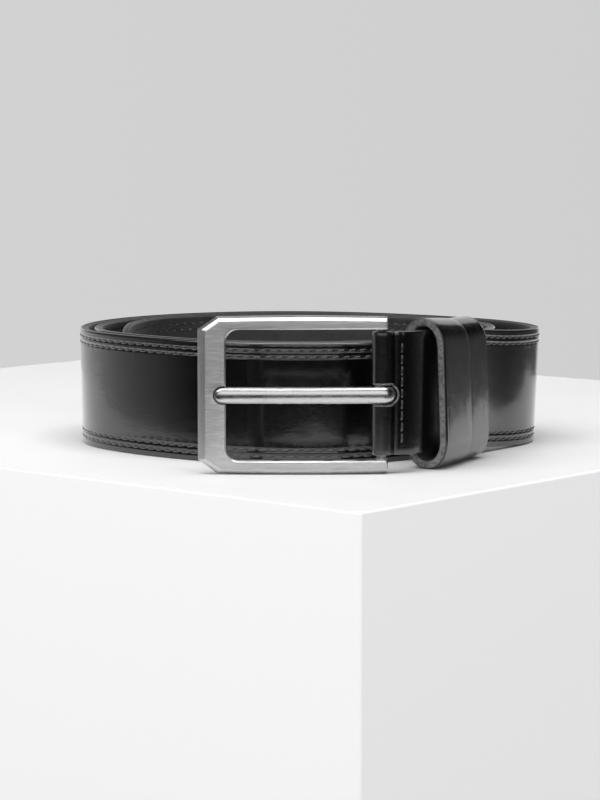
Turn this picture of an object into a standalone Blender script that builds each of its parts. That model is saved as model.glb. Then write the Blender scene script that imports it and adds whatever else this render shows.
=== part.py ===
"""A gentleman's leather belt, coiled and standing on its lower edge.

Row frame: +Z up, the coil stands on z = 0, the buckle faces -Y, +X is to the right of
somebody who looks at the buckle. Lengths below are in millimetres and are turned into
metres where the meshes are made.

The strap is a spiral of two and three quarter turns. Its plan curve is the outer surface
of the face leather, written as a radius about the coil's centre against the angle turned
since the buckle. The face leather runs round the buckle's bar and back along itself, the
lining takes over where that flap ends, and both are sewn together by two seams that run
along the top edge, round the tip and back along the bottom edge.
"""

import math

import bmesh
import bpy
import numpy as np

# ---------------------------------------------------------------- driving dimensions, mm
COIL_X, COIL_Y = -0.67, 12.49      # centre of the spiral in the row frame
STRAP_W = 40.0                     # width of the strap
FOLD_W = 39.4                      # width where it is trimmed to pass the buckle
FACE_T, FACE_T_FOLD = 1.70, 1.60   # face leather, and skived where it folds
BACK_T = 1.30                      # lining, and the folded flap
GLUE = 0.12                        # gap between the two layers
LINING_INSET = 0.2                 # the lining is trimmed this much narrower on each side
LAYER_PITCH = 4.25                 # radial step from one turn to the next where they touch
TURN_STEP = 9.0                    # degrees between stations of the spiral

BAR_X, BAR_Y = 22.63, -76.51       # bar axis in the row frame
BAR_R = 1.40
FOLD_R_IN = 1.52
BAR_Z0, BAR_Z1 = 2.10, 48.50

FRAME_H = 50.6                     # buckle, over all
FRAME_LEFT = 58.5                  # from the bar axis to the far side
FRAME_RIGHT = 1.95                 # from the bar axis to the arm ends
FRAME_IN_Z0, FRAME_IN_Z1 = 4.3, 46.3
FRAME_IN_LEFT = 49.6               # from the bar axis to the inside of the far side
FRAME_T = 3.6                      # thickness, front to back
FRAME_FRONT = 3.55                 # front face in front of the bar axis
BEVEL, ARM_BEVEL, CUT_BEVEL = 2.45, 1.45, 1.9      # width of the sloping border on the far side, the arms and the cut corners
CORNER_X, CORNER_Z = 6.0, 4.6      # cut corners
IN_R = 4.2                         # inside corner radius
ARCH = 1.3                         # how far the frame bows forward at mid length
BULGE = 0.35                       # how far the long sides bow outwards

PRONG_W = 5.2
PRONG_T = 2.5
PRONG_R_OUT = 4.3
PRONG_REACH = 53.3                 # from the bar axis to the tip
PRONG_Z = 25.3
SLOT_HALF, SLOT_END = 3.0, 5.6     # slot in the leather: half height, end past the bar axis

KEEPER_T = 2.6
KEEPER_1_W, KEEPER_2_W = 20.0, 15.5
KEEPER_IN_N = 9.8                  # inside depth, square to the strap
KEEPER_CENTRE_N, KEEPER_2_BACK = -0.8, 0.3      # ring centre from the strap's outer surface, the free one further back
HOLE_R = 2.6

SEAM_EDGE = (2.6, 4.8)             # distance of the two seams from the strap's edge
THREAD_W, THREAD_H, THREAD_GAP = 0.9, 0.25, 0.10

# ---------------------------------------------------------------- the plan curve
# degrees turned from the +X direction about the coil's centre, radius of the outer surface
TURN_1 = [(-62.0, 84.6), (-56.0, 79.8), (-50.0, 75.9), (-41.0, 71.9), (-28.6, 70.7), (-21.6, 72.8),
          (-14.6, 76.4), (-8.0, 80.0), (-1.5, 81.0), (5.0, 79.4), (12.0, 76.3), (19.4, 73.1),
          (26.0, 70.2), (34.0, 67.3), (48.0, 64.6), (60.0, 63.9), (74.0, 64.9), (88.0, 66.7),
          (103.0, 69.2), (118.0, 71.4), (130.0, 73.2), (141.0, 74.9), (153.0, 76.6), (163.0, 78.1),
          (171.0, 79.0), (178.0, 79.4), (185.0, 79.1), (192.0, 79.1), (199.5, 76.9), (209.0, 73.5),
          (221.0, 70.6), (232.5, 69.9), (251.0, 70.0), (267.5, 70.0), (283.7, 69.3)]
# the second turn leaves the first in front of the keepers and comes back to it behind
TURN_2_FREE = [(293.4, 67.8), (301.6, 66.2), (310.3, 63.9), (319.8, 61.8), (330.9, 60.9), (341.6, 62.2),
               (350.4, 64.6), (358.3, 66.4), (366.0, 66.8), (374.0, 65.9), (383.0, 63.9), (394.0, 61.6)]
JOIN_2, END_2 = 408.0, 643.0
# the free end leaves the second turn at the back left and meets the coil at the front left
TIP_FREE = [(874.0, 66.9), (882.0, 66.0), (890.0, 65.3), (898.0, 65.2), (906.0, 65.6), (914.0, 66.4)]
LEAVE_3, TIP_ANGLE = 866.0, 912.0


def smooth(xs, ys, sigma):
    """Gaussian smoothing of evenly spaced samples with a width that may vary."""
    step = xs[1] - xs[0]
    out = np.empty_like(ys)
    for i, x in enumerate(xs):
        half = int(3.2 * sigma[i] / step) + 1
        a, b = max(0, i - half), min(len(xs), i + half + 1)
        lean = min(i - a, b - 1 - i)
        a, b = i - lean, i + lean + 1
        w = np.exp(-0.5 * ((xs[a:b] - x) / sigma[i]) ** 2)
        out[i] = (w * ys[a:b]).sum() / w.sum()
    return out


def radius_table():
    """The radius every half degree from the first point of TURN_1 to the tip."""
    step = 0.5
    xs = np.arange(TURN_1[0][0], TIP_ANGLE + step / 2, step)
    first = np.array(TURN_1)
    free = np.array([TURN_1[-1]] + TURN_2_FREE)
    tip = np.array(TIP_FREE)
    ys = np.zeros_like(xs)

    def turn_1(a):
        return np.interp(a, first[:, 0], first[:, 1])

    for i, a in enumerate(xs):
        if a <= TURN_1[-1][0]:
            ys[i] = turn_1(a)
        elif a <= JOIN_2:
            end = turn_1(JOIN_2 - 360) - LAYER_PITCH
            pts = np.vstack([free, [[JOIN_2, end]]])
            ys[i] = np.interp(a, pts[:, 0], pts[:, 1])
        elif a <= LEAVE_3:
            # one pitch inside what was laid one turn before
            j = int(round((a - 360 - xs[0]) / step))
            ys[i] = ys[j] - LAYER_PITCH
        else:
            start = int(round((LEAVE_3 - xs[0]) / step))
            pts = np.vstack([[[LEAVE_3, ys[start]]], tip])
            ys[i] = np.interp(a, pts[:, 0], pts[:, 1])
    sigma = np.full_like(xs, 7.0)
    sigma[xs < -40] = 3.0
    near = (xs >= -40) & (xs < -20)
    sigma[near] = 3.0 + 4.0 * (xs[near] + 40) / 20
    return xs, smooth(xs, ys, sigma)


R_AT, R_IS = radius_table()


def on_spiral(angle):
    r = float(np.interp(angle, R_AT, R_IS))
    a = math.radians(angle)
    return np.array([COIL_X + r * math.cos(a), COIL_Y + r * math.sin(a)])


def hermite(p0, t0, p1, t1, n):
    """n + 1 points from p0 to p1."""
    out = []
    for i in range(n + 1):
        u = i / n
        h = (2 * u**3 - 3 * u**2 + 1, u**3 - 2 * u**2 + u, -2 * u**3 + 3 * u**2, u**3 - u**2)
        out.append(h[0] * p0 + h[1] * t0 + h[2] * p1 + h[3] * t1)
    return out


def unit(v):
    return v / math.hypot(v[0], v[1])


JOIN_ANGLE = -54.0
PINCH = np.array([BAR_X + 4.7, BAR_Y - FACE_T_FOLD - 0.08])   # outer surface where the two layers meet
PINCH_DIRECTION = 16.0


def outer_line(step_degrees):
    """Points of the strap's outer surface from the pinch beside the bar to the tip, and how many belong to the lead-in."""
    join = on_spiral(JOIN_ANGLE)
    ahead = unit(on_spiral(JOIN_ANGLE + 1.0) - on_spiral(JOIN_ANGLE - 1.0))
    a = math.radians(PINCH_DIRECTION)
    span = float(np.linalg.norm(join - PINCH))
    lead = hermite(PINCH, span * np.array([math.cos(a), math.sin(a)]), join, span * ahead, 9)
    angles = [JOIN_ANGLE + step_degrees * i for i in range(1, 1 + int((TIP_ANGLE - JOIN_ANGLE) // step_degrees))]
    return lead + [on_spiral(x) for x in angles]


def arc_lengths(points):
    out = [0.0]
    for p, q in zip(points, points[1:]):
        out.append(out[-1] + float(np.linalg.norm(q - p)))
    return out


def outward(points):
    """Outward normal of the strap at each point: to the right of the way it runs."""
    out = []
    for i in range(len(points)):
        d = unit(points[min(i + 1, len(points) - 1)] - points[max(i - 1, 0)])
        out.append(np.array([d[1], -d[0]]))
    return out


LINE = outer_line(TURN_STEP)
ALONG = arc_lengths(LINE)
OUT = outward(LINE)
TOTAL = ALONG[-1]

LIFT_AT = [0, 8, 17, 30, 44, 53, 61, 74, 88, 104, 5000]
LIFT_IS = [5.75, 5.6, 5.2, 4.3, 3.4, 2.9, 2.6, 1.1, 0.25, 0.0, 0.0]
LEAN_AT = [0, 30, 135, 165, 400, 5000]
LEAN_IS = [0, 0, 2.5, 2.5, 0.0, 0.0]                # how far the top edge stands outside the bottom one
TIP_LENGTH = 30.0


def half_width(s, inset=0.0):
    """Half the strap's width at s. The tip is a soft point."""
    w = STRAP_W / 2 - inset
    w = np.interp(s, [0, 6, 30], [FOLD_W / 2 - inset, FOLD_W / 2 - inset, w])
    left = TOTAL - inset - s
    if left < TIP_LENGTH:
        u = 1 - max(left, 0.0) / TIP_LENGTH
        w *= (1 - u**2.4) ** 0.62 if u < 1 else 0.0
    return float(w)


def z_bottom(s):
    """Lower edge of the full-width strap."""
    return float(np.interp(s, LIFT_AT, LIFT_IS)) + (STRAP_W - FOLD_W) / 2 * float(np.interp(s, [0, 6, 30], [1, 1, 0]))


def z_middle(s):
    return float(np.interp(s, LIFT_AT, LIFT_IS)) + STRAP_W / 2


def lean(s):
    return float(np.interp(s, LEAN_AT, LEAN_IS)) / STRAP_W


# ---------------------------------------------------------------- mesh helpers
def material(name, colour, roughness, metallic):
    m = bpy.data.materials.get(name)
    if m is None:
        m = bpy.data.materials.new(name)
        m.use_nodes = True
        b = m.node_tree.nodes["Principled BSDF"]
        b.inputs["Base Color"].default_value = (*colour, 1.0)
        b.inputs["Roughness"].default_value = roughness
        b.inputs["Metallic"].default_value = metallic
    return m


def finish(name, bm, mat, smooth_angle=40.0):
    bmesh.ops.recalc_face_normals(bm, faces=bm.faces[:])
    mesh = bpy.data.meshes.new(name)
    bm.to_mesh(mesh)
    bm.free()
    mesh.shade_smooth()
    mesh.set_sharp_from_angle(angle=math.radians(smooth_angle))
    mesh.materials.append(mat)
    obj = bpy.data.objects.new(name, mesh)
    bpy.context.scene.collection.objects.link(obj)
    return obj


def loft(rings, closed=False):
    """A closed body through rings of points in millimetres. Open ends are capped."""
    bm = bmesh.new()
    rows = [[bm.verts.new((p[0] / 1000, p[1] / 1000, p[2] / 1000)) for p in ring] for ring in rings]
    n = len(rows[0])
    pairs = list(zip(rows, rows[1:])) + ([(rows[-1], rows[0])] if closed else [])
    for a, b in pairs:
        for i in range(n):
            j = (i + 1) % n
            bm.faces.new((a[i], a[j], b[j], b[i]))
    if not closed:
        bm.faces.new(rows[0][::-1])
        bm.faces.new(rows[-1])
    return bm


def cutter(name, bm):
    obj = finish(name, bm, material("cutter", (1, 0, 0), 0.5, 0.0))
    obj.hide_render = True
    obj.display_type = "WIRE"
    return obj


def boolean(obj, other, operation):
    m = obj.modifiers.new(operation.lower() + "_" + other.name, "BOOLEAN")
    m.operation = operation
    m.object = other
    m.solver = "EXACT"
    return m


def prism(outline, low, high, axis):
    """A prism with that outline: axis 'z' takes (x, y) points, axis 'y' takes (x, z) points."""
    def at(p, h):
        return (p[0], p[1], h) if axis == "z" else (p[0], h, p[1])
    return loft([[at(p, low) for p in outline], [at(p, high) for p in outline]])


def circle(cx, cy, r, n, start=0.0):
    return [(cx + r * math.cos(start + 2 * math.pi * i / n), cy + r * math.sin(start + 2 * math.pi * i / n)) for i in range(n)]


for old in list(bpy.data.objects):
    bpy.data.objects.remove(old, do_unlink=True)

LEATHER = material("black_leather", (0.012, 0.012, 0.012), 0.32, 0.0)
LINING = material("black_lining", (0.030, 0.030, 0.030), 0.6, 0.0)
THREAD = material("black_thread", (0.020, 0.020, 0.020), 0.5, 0.0)
STEEL = material("brushed_gunmetal", (0.42, 0.42, 0.42), 0.34, 1.0)
PLAIN = material("plain_steel", (0.5, 0.5, 0.5), 0.3, 1.0)


# ---------------------------------------------------------------- the strap
def station(s, point, normal, depth_out, depth_in, half, chamfer_out, chamfer_in):
    """Section of one layer at s. Depths are measured inwards from the outer surface."""
    mid, k = z_middle(s), lean(s)
    z0, z1 = mid - half, mid + half

    def at(depth, z):
        # above the bottom edge the strap leans outwards
        o = k * (z - z_bottom(s))
        return (point[0] + normal[0] * (o - depth), point[1] + normal[1] * (o - depth), z)

    c, d = min(chamfer_out, half * 0.5), min(chamfer_in, half * 0.5)
    if chamfer_out > 0 and chamfer_in > 0:
        return [at(depth_out, z0 + c), at(depth_out, z1 - c), at(depth_out + c, z1), at(depth_in - d, z1),
                at(depth_in, z1 - d), at(depth_in, z0 + d), at(depth_in - d, z0), at(depth_out + c, z0)]
    if chamfer_out > 0:
        return [at(depth_out, z0 + c), at(depth_out, z1 - c), at(depth_out + c, z1),
                at(depth_in, z1), at(depth_in, mid), at(depth_in, z0), at(depth_out + c, z0)]
    return [at(depth_out, z0), at(depth_out, mid), at(depth_out, z1), at(depth_in - d, z1), at(depth_in, z1 - d),
            at(depth_in, z0 + d), at(depth_in - d, z0)]


def tip_stations():
    """Extra places along the tip, so that its outline is round."""
    out = []
    for k in (30, 26, 22, 18, 14, 10.5, 7.5, 5, 3, 1.6, 0.7, 0.25):
        out.append(TOTAL - k)
    return out


def along(s):
    """Point and outward normal of the outer surface at s."""
    p = np.array([np.interp(s, ALONG, [q[0] for q in LINE]), np.interp(s, ALONG, [q[1] for q in LINE])])
    n = np.array([np.interp(s, ALONG, [q[0] for q in OUT]), np.interp(s, ALONG, [q[1] for q in OUT])])
    return p, unit(n)


STATIONS = sorted([s for s in ALONG if s < TOTAL - TIP_LENGTH - 2] + tip_stations())
FLAP_END = 58.5
LINING_START = 60.5
NEAR_BACK = [s for s in STATIONS if s < FLAP_END - 3]


def face_t(s):
    return float(np.interp(s, [0, 12], [FACE_T_FOLD, FACE_T]))


def flap_ring(s, point, normal):
    depth = face_t(s) + GLUE + 0.1 * float(np.interp(s, [0, 10], [1, 0]))
    half = half_width(s)
    mid = z_middle(s)
    z0, z1 = mid - half, mid + half
    # same order of corners as the face leather, whose outside turns to the inside of the coil here
    c = 0.4

    def at(d, z):
        return (point[0] - normal[0] * d, point[1] - normal[1] * d, z)
    far, near = depth + BACK_T, depth
    return [at(far, z0 + c), at(far, z1 - c), at(far - c, z1), at(near, z1), at(near, mid), at(near, z0), at(far - c, z0)]


def fold_rings():
    """From the flap's free end, round the bar, to the pinch."""
    rings = []
    for s in [FLAP_END] + NEAR_BACK[::-1]:
        p, n = along(s)
        rings.append(flap_ring(s, p, n))
    mid_r = FOLD_R_IN + FACE_T_FOLD / 2
    z0 = z_middle(0) - FOLD_W / 2
    z1 = z0 + FOLD_W
    c = 0.4
    steps = 15
    a0, a1 = math.radians(72.0), math.radians(288.0)
    for i in range(steps + 1):
        a = a0 + (a1 - a0) * i / steps
        d = np.array([math.cos(a), math.sin(a)])
        centre = np.array([BAR_X, BAR_Y])
        outer, inner = centre + d * (mid_r + FACE_T_FOLD / 2), centre + d * (mid_r - FACE_T_FOLD / 2)
        mid = centre + d * (mid_r + FACE_T_FOLD / 2 - c)
        rings.append([(outer[0], outer[1], z0 + c), (outer[0], outer[1], z1 - c), (mid[0], mid[1], z1),
                      (inner[0], inner[1], z1), (inner[0], inner[1], (z0 + z1) / 2), (inner[0], inner[1], z0),
                      (mid[0], mid[1], z0)])
    return rings


def face_rings():
    rings = []
    for s in STATIONS:
        p, n = along(s)
        rings.append(station(s, p, n, 0.0, face_t(s), half_width(s), 0.5, 0.0))
    return rings


strap_face = finish("strap_face", loft(fold_rings() + face_rings()), LEATHER)


def lining_rings():
    rings = []
    start = [s for s in STATIONS if s > LINING_START + 2]
    for s in [LINING_START] + start:
        p, n = along(s)
        rings.append(station(s, p, n, FACE_T + GLUE, FACE_T + GLUE + BACK_T, half_width(s) - LINING_INSET, 0.0, 0.45))
    return rings


strap_lining = finish("strap_lining", loft(lining_rings()), LINING)

# slot for the prong, through both layers beside the bar
slot_outline = [(BAR_X - 8, PRONG_Z - SLOT_HALF), (BAR_X + SLOT_END - SLOT_HALF, PRONG_Z - SLOT_HALF)]
for i in range(1, 8):
    a = -math.pi / 2 + math.pi * i / 8
    slot_outline.append((BAR_X + SLOT_END - SLOT_HALF + SLOT_HALF * math.cos(a), PRONG_Z + SLOT_HALF * math.sin(a)))
slot_outline += [(BAR_X + SLOT_END - SLOT_HALF, PRONG_Z + SLOT_HALF), (BAR_X - 8, PRONG_Z + SLOT_HALF)]
slot = cutter("slot_cutter", prism(slot_outline, BAR_Y - 8, BAR_Y + 8, "y"))
boolean(strap_face, slot, "DIFFERENCE")

# five punched holes for the prong, 25 mm apart, the last 85 mm from the tip
HOLES_AT = [TOTAL - 85 - 25 * i for i in range(5)]


def hole_rings(s):
    p, n = along(s)
    t = np.array([-n[1], n[0]])
    mid = z_middle(s)
    rings = []
    for d in (3.0, -FACE_T - BACK_T - GLUE - 3.0):
        ring = []
        for i in range(14):
            a = 2 * math.pi * (i + 0.5) / 14
            q = p + n * d + t * HOLE_R * math.cos(a)
            ring.append((q[0], q[1], mid + HOLE_R * math.sin(a)))
        rings.append(ring)
    return rings


for i, s in enumerate(HOLES_AT):
    hole = cutter(f"hole_cutter_{i + 1}", loft(hole_rings(s)))
    boolean(strap_face, hole, "DIFFERENCE")
    boolean(strap_lining, hole, "DIFFERENCE")


# ---------------------------------------------------------------- the seams
def seam_path(edge, start):
    """Along the top edge to the tip, round it, and back along the bottom edge: (s, height above mid width)."""
    top = [(s, half_width(s, edge)) for s in STATIONS if s > start and s < TOTAL - edge - 0.6]
    first = [(start, half_width(start, edge))]
    top = first + top
    bottom = [(s, -h) for s, h in top[::-1]]
    return top + bottom


def seam_rings(edge, start, side):
    """A thin continuous thread. side +1 lies on the face leather, -1 on the lining."""
    path = seam_path(edge, start)
    rings = []
    for i, (s, h) in enumerate(path):
        a, b = path[max(i - 1, 0)], path[min(i + 1, len(path) - 1)]
        ds, dh = b[0] - a[0], b[1] - a[1]
        length = math.hypot(ds, dh)
        ds, dh = ds / length, dh / length
        ring = []
        base = THREAD_GAP if side > 0 else -(FACE_T + GLUE + BACK_T) - THREAD_GAP
        top = base + side * THREAD_H
        for across, lift in ((-THREAD_W / 2, base), (0.0, top), (THREAD_W / 2, base)):
            q, z = s - dh * across, h + ds * across
            p, n = along(min(q, TOTAL))
            height = z_middle(q) + z
            o = lean(q) * (height - z_bottom(q)) + lift
            ring.append((p[0] + n[0] * o, p[1] + n[1] * o, height))
        rings.append(ring)
    return rings


SEAM_START = 48.0
finish("seam_thread_outer_face", loft(seam_rings(SEAM_EDGE[0], SEAM_START, 1)), THREAD)
finish("seam_thread_inner_face", loft(seam_rings(SEAM_EDGE[1], SEAM_START, 1)), THREAD)
finish("seam_thread_outer_back", loft(seam_rings(SEAM_EDGE[0], LINING_START + 3, -1)), THREAD)
finish("seam_thread_inner_back", loft(seam_rings(SEAM_EDGE[1], LINING_START + 3, -1)), THREAD)


def cross_seam(name, s, side):
    """A short seam across the strap that closes the fold."""
    p, n = along(s)
    t = np.array([-n[1], n[0]])
    depth_back = face_t(s) + GLUE + 0.1 * float(np.interp(s, [0, 10], [1, 0])) + BACK_T
    base = THREAD_GAP + 0.12 if side > 0 else -depth_back - THREAD_GAP - 0.12
    top = base + side * THREAD_H
    rings = []
    half = half_width(s) - 1.6
    for k in range(0, 7):
        z = z_middle(s) - half + 2 * half * k / 6
        o = lean(s) * (z - z_bottom(s))
        ring = []
        for across, lift in ((-THREAD_W / 2, base), (0.0, top), (THREAD_W / 2, base)):
            q = p + t * across + n * (lift + o)
            ring.append((q[0], q[1], z))
        rings.append(ring)
    return finish(name, loft(rings), THREAD)


FOLD_SEAM, KEEPER_SEAM = 1.9, 35.3
cross_seam("fold_seam_thread_face", FOLD_SEAM, 1)
cross_seam("fold_seam_thread_back", FOLD_SEAM, -1)
cross_seam("keeper_seam_thread_face", KEEPER_SEAM, 1)
cross_seam("keeper_seam_thread_back", KEEPER_SEAM, -1)


# ---------------------------------------------------------------- the keepers
def keeper_outline(half_n, half_z, corner, n=7):
    """Flattened ring outline with long round shoulders, in (n, z)."""
    pts = []
    for sx, sz, a0 in ((1, -1, -90), (1, 1, 0), (-1, 1, 90), (-1, -1, 180)):
        for i in range(n + 1):
            a = math.radians(a0 + 90 * i / n)
            ca, sa = math.cos(a), math.sin(a)
            x = sx * half_n - sx * half_n + half_n * math.copysign(abs(ca) ** 0.92, ca)
            z = sz * (half_z - corner) + corner * math.copysign(abs(sa) ** 0.92, sa)
            pts.append((x, z))
    clean = [pts[0]]
    for p in pts[1:]:
        if math.hypot(p[0] - clean[-1][0], p[1] - clean[-1][1]) > 0.15:
            clean.append(p)
    if math.hypot(clean[0][0] - clean[-1][0], clean[0][1] - clean[-1][1]) < 0.15:
        clean.pop()
    return clean


def keeper(name, s_mid, width, z_low, z_high, corner, mat, turn=0.0, fall=0.0, back=0.0):
    """A leather loop round the strap, centred at s_mid and turned by some degrees from square to it. Its top
    falls by some millimetres towards its far rim."""
    p, n = along(s_mid)
    p = p - n * back
    ca, sa = math.cos(math.radians(turn)), math.sin(math.radians(turn))
    n = np.array([n[0] * ca - n[1] * sa, n[0] * sa + n[1] * ca])
    t = np.array([-n[1], n[0]])
    mid, half = (z_low + z_high) / 2, (z_high - z_low) / 2
    outer = keeper_outline(KEEPER_IN_N / 2 + KEEPER_T, half, corner + KEEPER_T)
    inner = keeper_outline(KEEPER_IN_N / 2, half - KEEPER_T, corner)
    bm = bmesh.new()

    def ring(points, at_t):
        rows = []
        for a, z in points:
            q = p + n * (KEEPER_CENTRE_N + a) + t * at_t
            drop = fall * (at_t + width / 2) / width * max(z, 0.0) / half
            rows.append(bm.verts.new((q[0] / 1000, q[1] / 1000, (mid + z - drop) / 1000)))
        return rows
    w = width / 2
    o0, o1, i0, i1 = ring(outer, -w), ring(outer, w), ring(inner, -w), ring(inner, w)
    k = len(outer)
    for i in range(k):
        j = (i + 1) % k
        bm.faces.new((o0[i], o0[j], o1[j], o1[i]))
        bm.faces.new((i0[j], i0[i], i1[i], i1[j]))
        bm.faces.new((o0[j], o0[i], i0[i], i0[j]))
        bm.faces.new((o1[i], o1[j], i1[j], i1[i]))
    return finish(name, bm, mat), p, n, t, mid


def staple(name, p, n, t, z):
    """The flat wire staple that closes a keeper's butt joint, on the inside of the loop's back wall."""
    depth = KEEPER_CENTRE_N - KEEPER_IN_N / 2 - KEEPER_T - 0.08
    rings = []
    for across in (-4.2, -1.4, 1.4, 4.2):
        ring = []
        for a, b in ((-0.45, 0.0), (-0.45, -0.5), (0.45, -0.5), (0.45, 0.0)):
            q = p + t * across + n * (depth + b)
            ring.append((q[0], q[1], z + a))
        rings.append(ring)
    return finish(name, loft(rings), PLAIN)


KEEPER_1_S, KEEPER_2_S = 25.3, 43.3
KEEPER_1_FALL = 1.4
KEEPER_1_TURN = -5.0                # the fixed loop sits slightly askew, in line with the free one
_, p, n, t, mid = keeper("keeper_fixed", KEEPER_1_S, KEEPER_1_W, 0.0, 48.9, 7.6, LEATHER, KEEPER_1_TURN, KEEPER_1_FALL)
staple("keeper_fixed_staple", p, n, t, mid)
_, p, n, t, mid = keeper("keeper_sliding", KEEPER_2_S, KEEPER_2_W, 0.0, 47.1, 6.6, LEATHER, back=KEEPER_2_BACK)
staple("keeper_sliding_staple", p, n, t, mid)


# ---------------------------------------------------------------- the buckle frame
def bow(x):
    """How far forward the frame stands at x, measured from the bar axis to the left."""
    u = (x + FRAME_LEFT) / (FRAME_LEFT + FRAME_RIGHT)
    return ARCH * 4 * u * (1 - u)


def bulge(x):
    u = (x + FRAME_LEFT - CORNER_X) / (FRAME_LEFT - CORNER_X + FRAME_RIGHT)
    return BULGE * 4 * u * (1 - u)


def frame_sections():
    """Pairs of outlines of the C-shaped frame, from the top arm's end to the bottom arm's end. Each section is a list of
    (x from the bar axis, z, depth behind the front plane)."""
    z_mid = FRAME_H / 2
    long = math.hypot(CORNER_X, CORNER_Z)
    arm, slope = ARM_BEVEL / BEVEL, CUT_BEVEL / BEVEL
    # where the sloping border meets the flat: the outline moved inwards, mitred at the cut corners
    def mitre(d):
        ax = -FRAME_LEFT + CORNER_X + (slope * d * long - arm * d * CORNER_X) / CORNER_Z
        bz = FRAME_H - CORNER_Z - (slope * d * long - d * CORNER_Z) / CORNER_X
        return ax, bz
    sections = []

    def add(inner, outline_at):
        """outline_at(d) gives the outline moved inwards by d."""
        o0, o1, o2 = outline_at(0.0), outline_at(0.9), outline_at(BEVEL)
        i0 = np.array(inner)
        toward = np.array(o2) - i0
        toward = toward / np.linalg.norm(toward)
        i1 = i0 + toward * 0.35
        sections.append([(*o0, FRAME_T - 0.5), (*o0, 2.0), (*o1, 1.15), (*o2, 0.0), (*i1, 0.0), (*i0, 0.35),
                         (*i0, FRAME_T), (*outline_at(0.5), FRAME_T)])
    # top arm
    arm_x = np.linspace(FRAME_RIGHT, -FRAME_LEFT + CORNER_X, 9)
    in_x = np.linspace(FRAME_RIGHT, -FRAME_IN_LEFT + IN_R, 9)
    for k in range(9):
        def outline(d, k=k):
            x_end = mitre(d)[0]
            x = FRAME_RIGHT + (x_end - FRAME_RIGHT) * k / 8
            return (x, FRAME_H - BULGE - arm * d + bulge(arm_x[k]))
        add((in_x[k], FRAME_IN_Z1), outline)
    # top left corner
    n = 5
    for k in range(1, n):
        a = math.radians(90 + 90 * k / n)
        inner = (-FRAME_IN_LEFT + IN_R + IN_R * math.cos(a), FRAME_IN_Z1 - IN_R + IN_R * math.sin(a))
        def outline(d, k=k):
            ax, bz = mitre(d)
            a0 = np.array([ax, FRAME_H - BULGE - arm * d])
            a1 = np.array([-FRAME_LEFT + d, bz])
            q = a0 + (a1 - a0) * k / n
            return (q[0], q[1])
        add(inner, outline)
    # far side, and the rest is the mirror of what came before
    side = []
    top, bottom = FRAME_IN_Z1 - IN_R, FRAME_IN_Z0 + IN_R
    for k in range(0, 9):
        z_in = top + (bottom - top) * k / 8
        def outline(d, k=k):
            hi = mitre(d)[1]
            return (-FRAME_LEFT + d, hi + (FRAME_H - hi - hi) * k / 8)
        side.append(((-FRAME_IN_LEFT, z_in), outline))
    half = list(sections)
    for inner, outline in side:
        add(inner, outline)
    for section in half[::-1]:
        sections.append([(x, FRAME_H - z, d) for x, z, d in section])
    return sections


rings = []
for section in frame_sections():
    rings.append([(BAR_X + x, BAR_Y - FRAME_FRONT - bow(x) + d, z) for x, z, d in section])
frame = finish("buckle_frame", loft(rings), STEEL, 25.0)

# lugs that carry the bar, behind the arm ends and a little proud inside them
for name, low, high in (("lug_low", 0.6, FRAME_IN_Z0 + 0.65), ("lug_high", FRAME_IN_Z1 - 0.65, FRAME_H - 0.6)):
    lug = cutter(name, prism(circle(BAR_X, BAR_Y, 1.93, 24), low, high, "z"))
    boolean(frame, lug, "UNION")
bore = cutter("bar_bore", prism(circle(BAR_X, BAR_Y, BAR_R + 0.06, 24), BAR_Z0 - 0.1, BAR_Z1 + 0.1, "z"))
boolean(frame, bore, "DIFFERENCE")
# seat for the prong's tip
seat_x = BAR_X - PRONG_REACH + PRONG_W / 2
seat_outline = []
for i in range(0, 11):
    a = math.radians(90 + 180 * i / 10)
    seat_outline.append((seat_x + 2.95 * math.cos(a), PRONG_Z + 2.95 * math.sin(a)))
seat_outline += [(seat_x + 8, PRONG_Z - 2.95), (seat_x + 8, PRONG_Z + 2.95)]
seat = cutter("prong_seat", prism(seat_outline, BAR_Y - 12, BAR_Y - FRAME_FRONT + 1.35, "y"))
boolean(frame, seat, "DIFFERENCE")

finish("buckle_bar", prism(circle(BAR_X, BAR_Y, BAR_R, 24), BAR_Z0, BAR_Z1, "z"), PLAIN)


# ---------------------------------------------------------------- the prong
def prong_section(x, y_back, thick, half, tangent=(1.0, 0.0)):
    """Half-round section: flat behind, round in front. tangent is the way the prong runs in plan."""
    front = np.array([tangent[1], -tangent[0]])
    pts = []
    n = 8
    for i in range(n + 1):
        a = math.pi * i / n
        z = half * math.cos(a)
        d = 0.55 + (thick - 0.55) * math.sin(a) ** 0.8
        q = np.array([x, y_back]) + front * d
        pts.append((q[0], q[1], PRONG_Z - z))
    for z in (half - 0.25, -(half - 0.25)):
        pts.append((x, y_back, PRONG_Z + z))
    return pts


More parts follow.
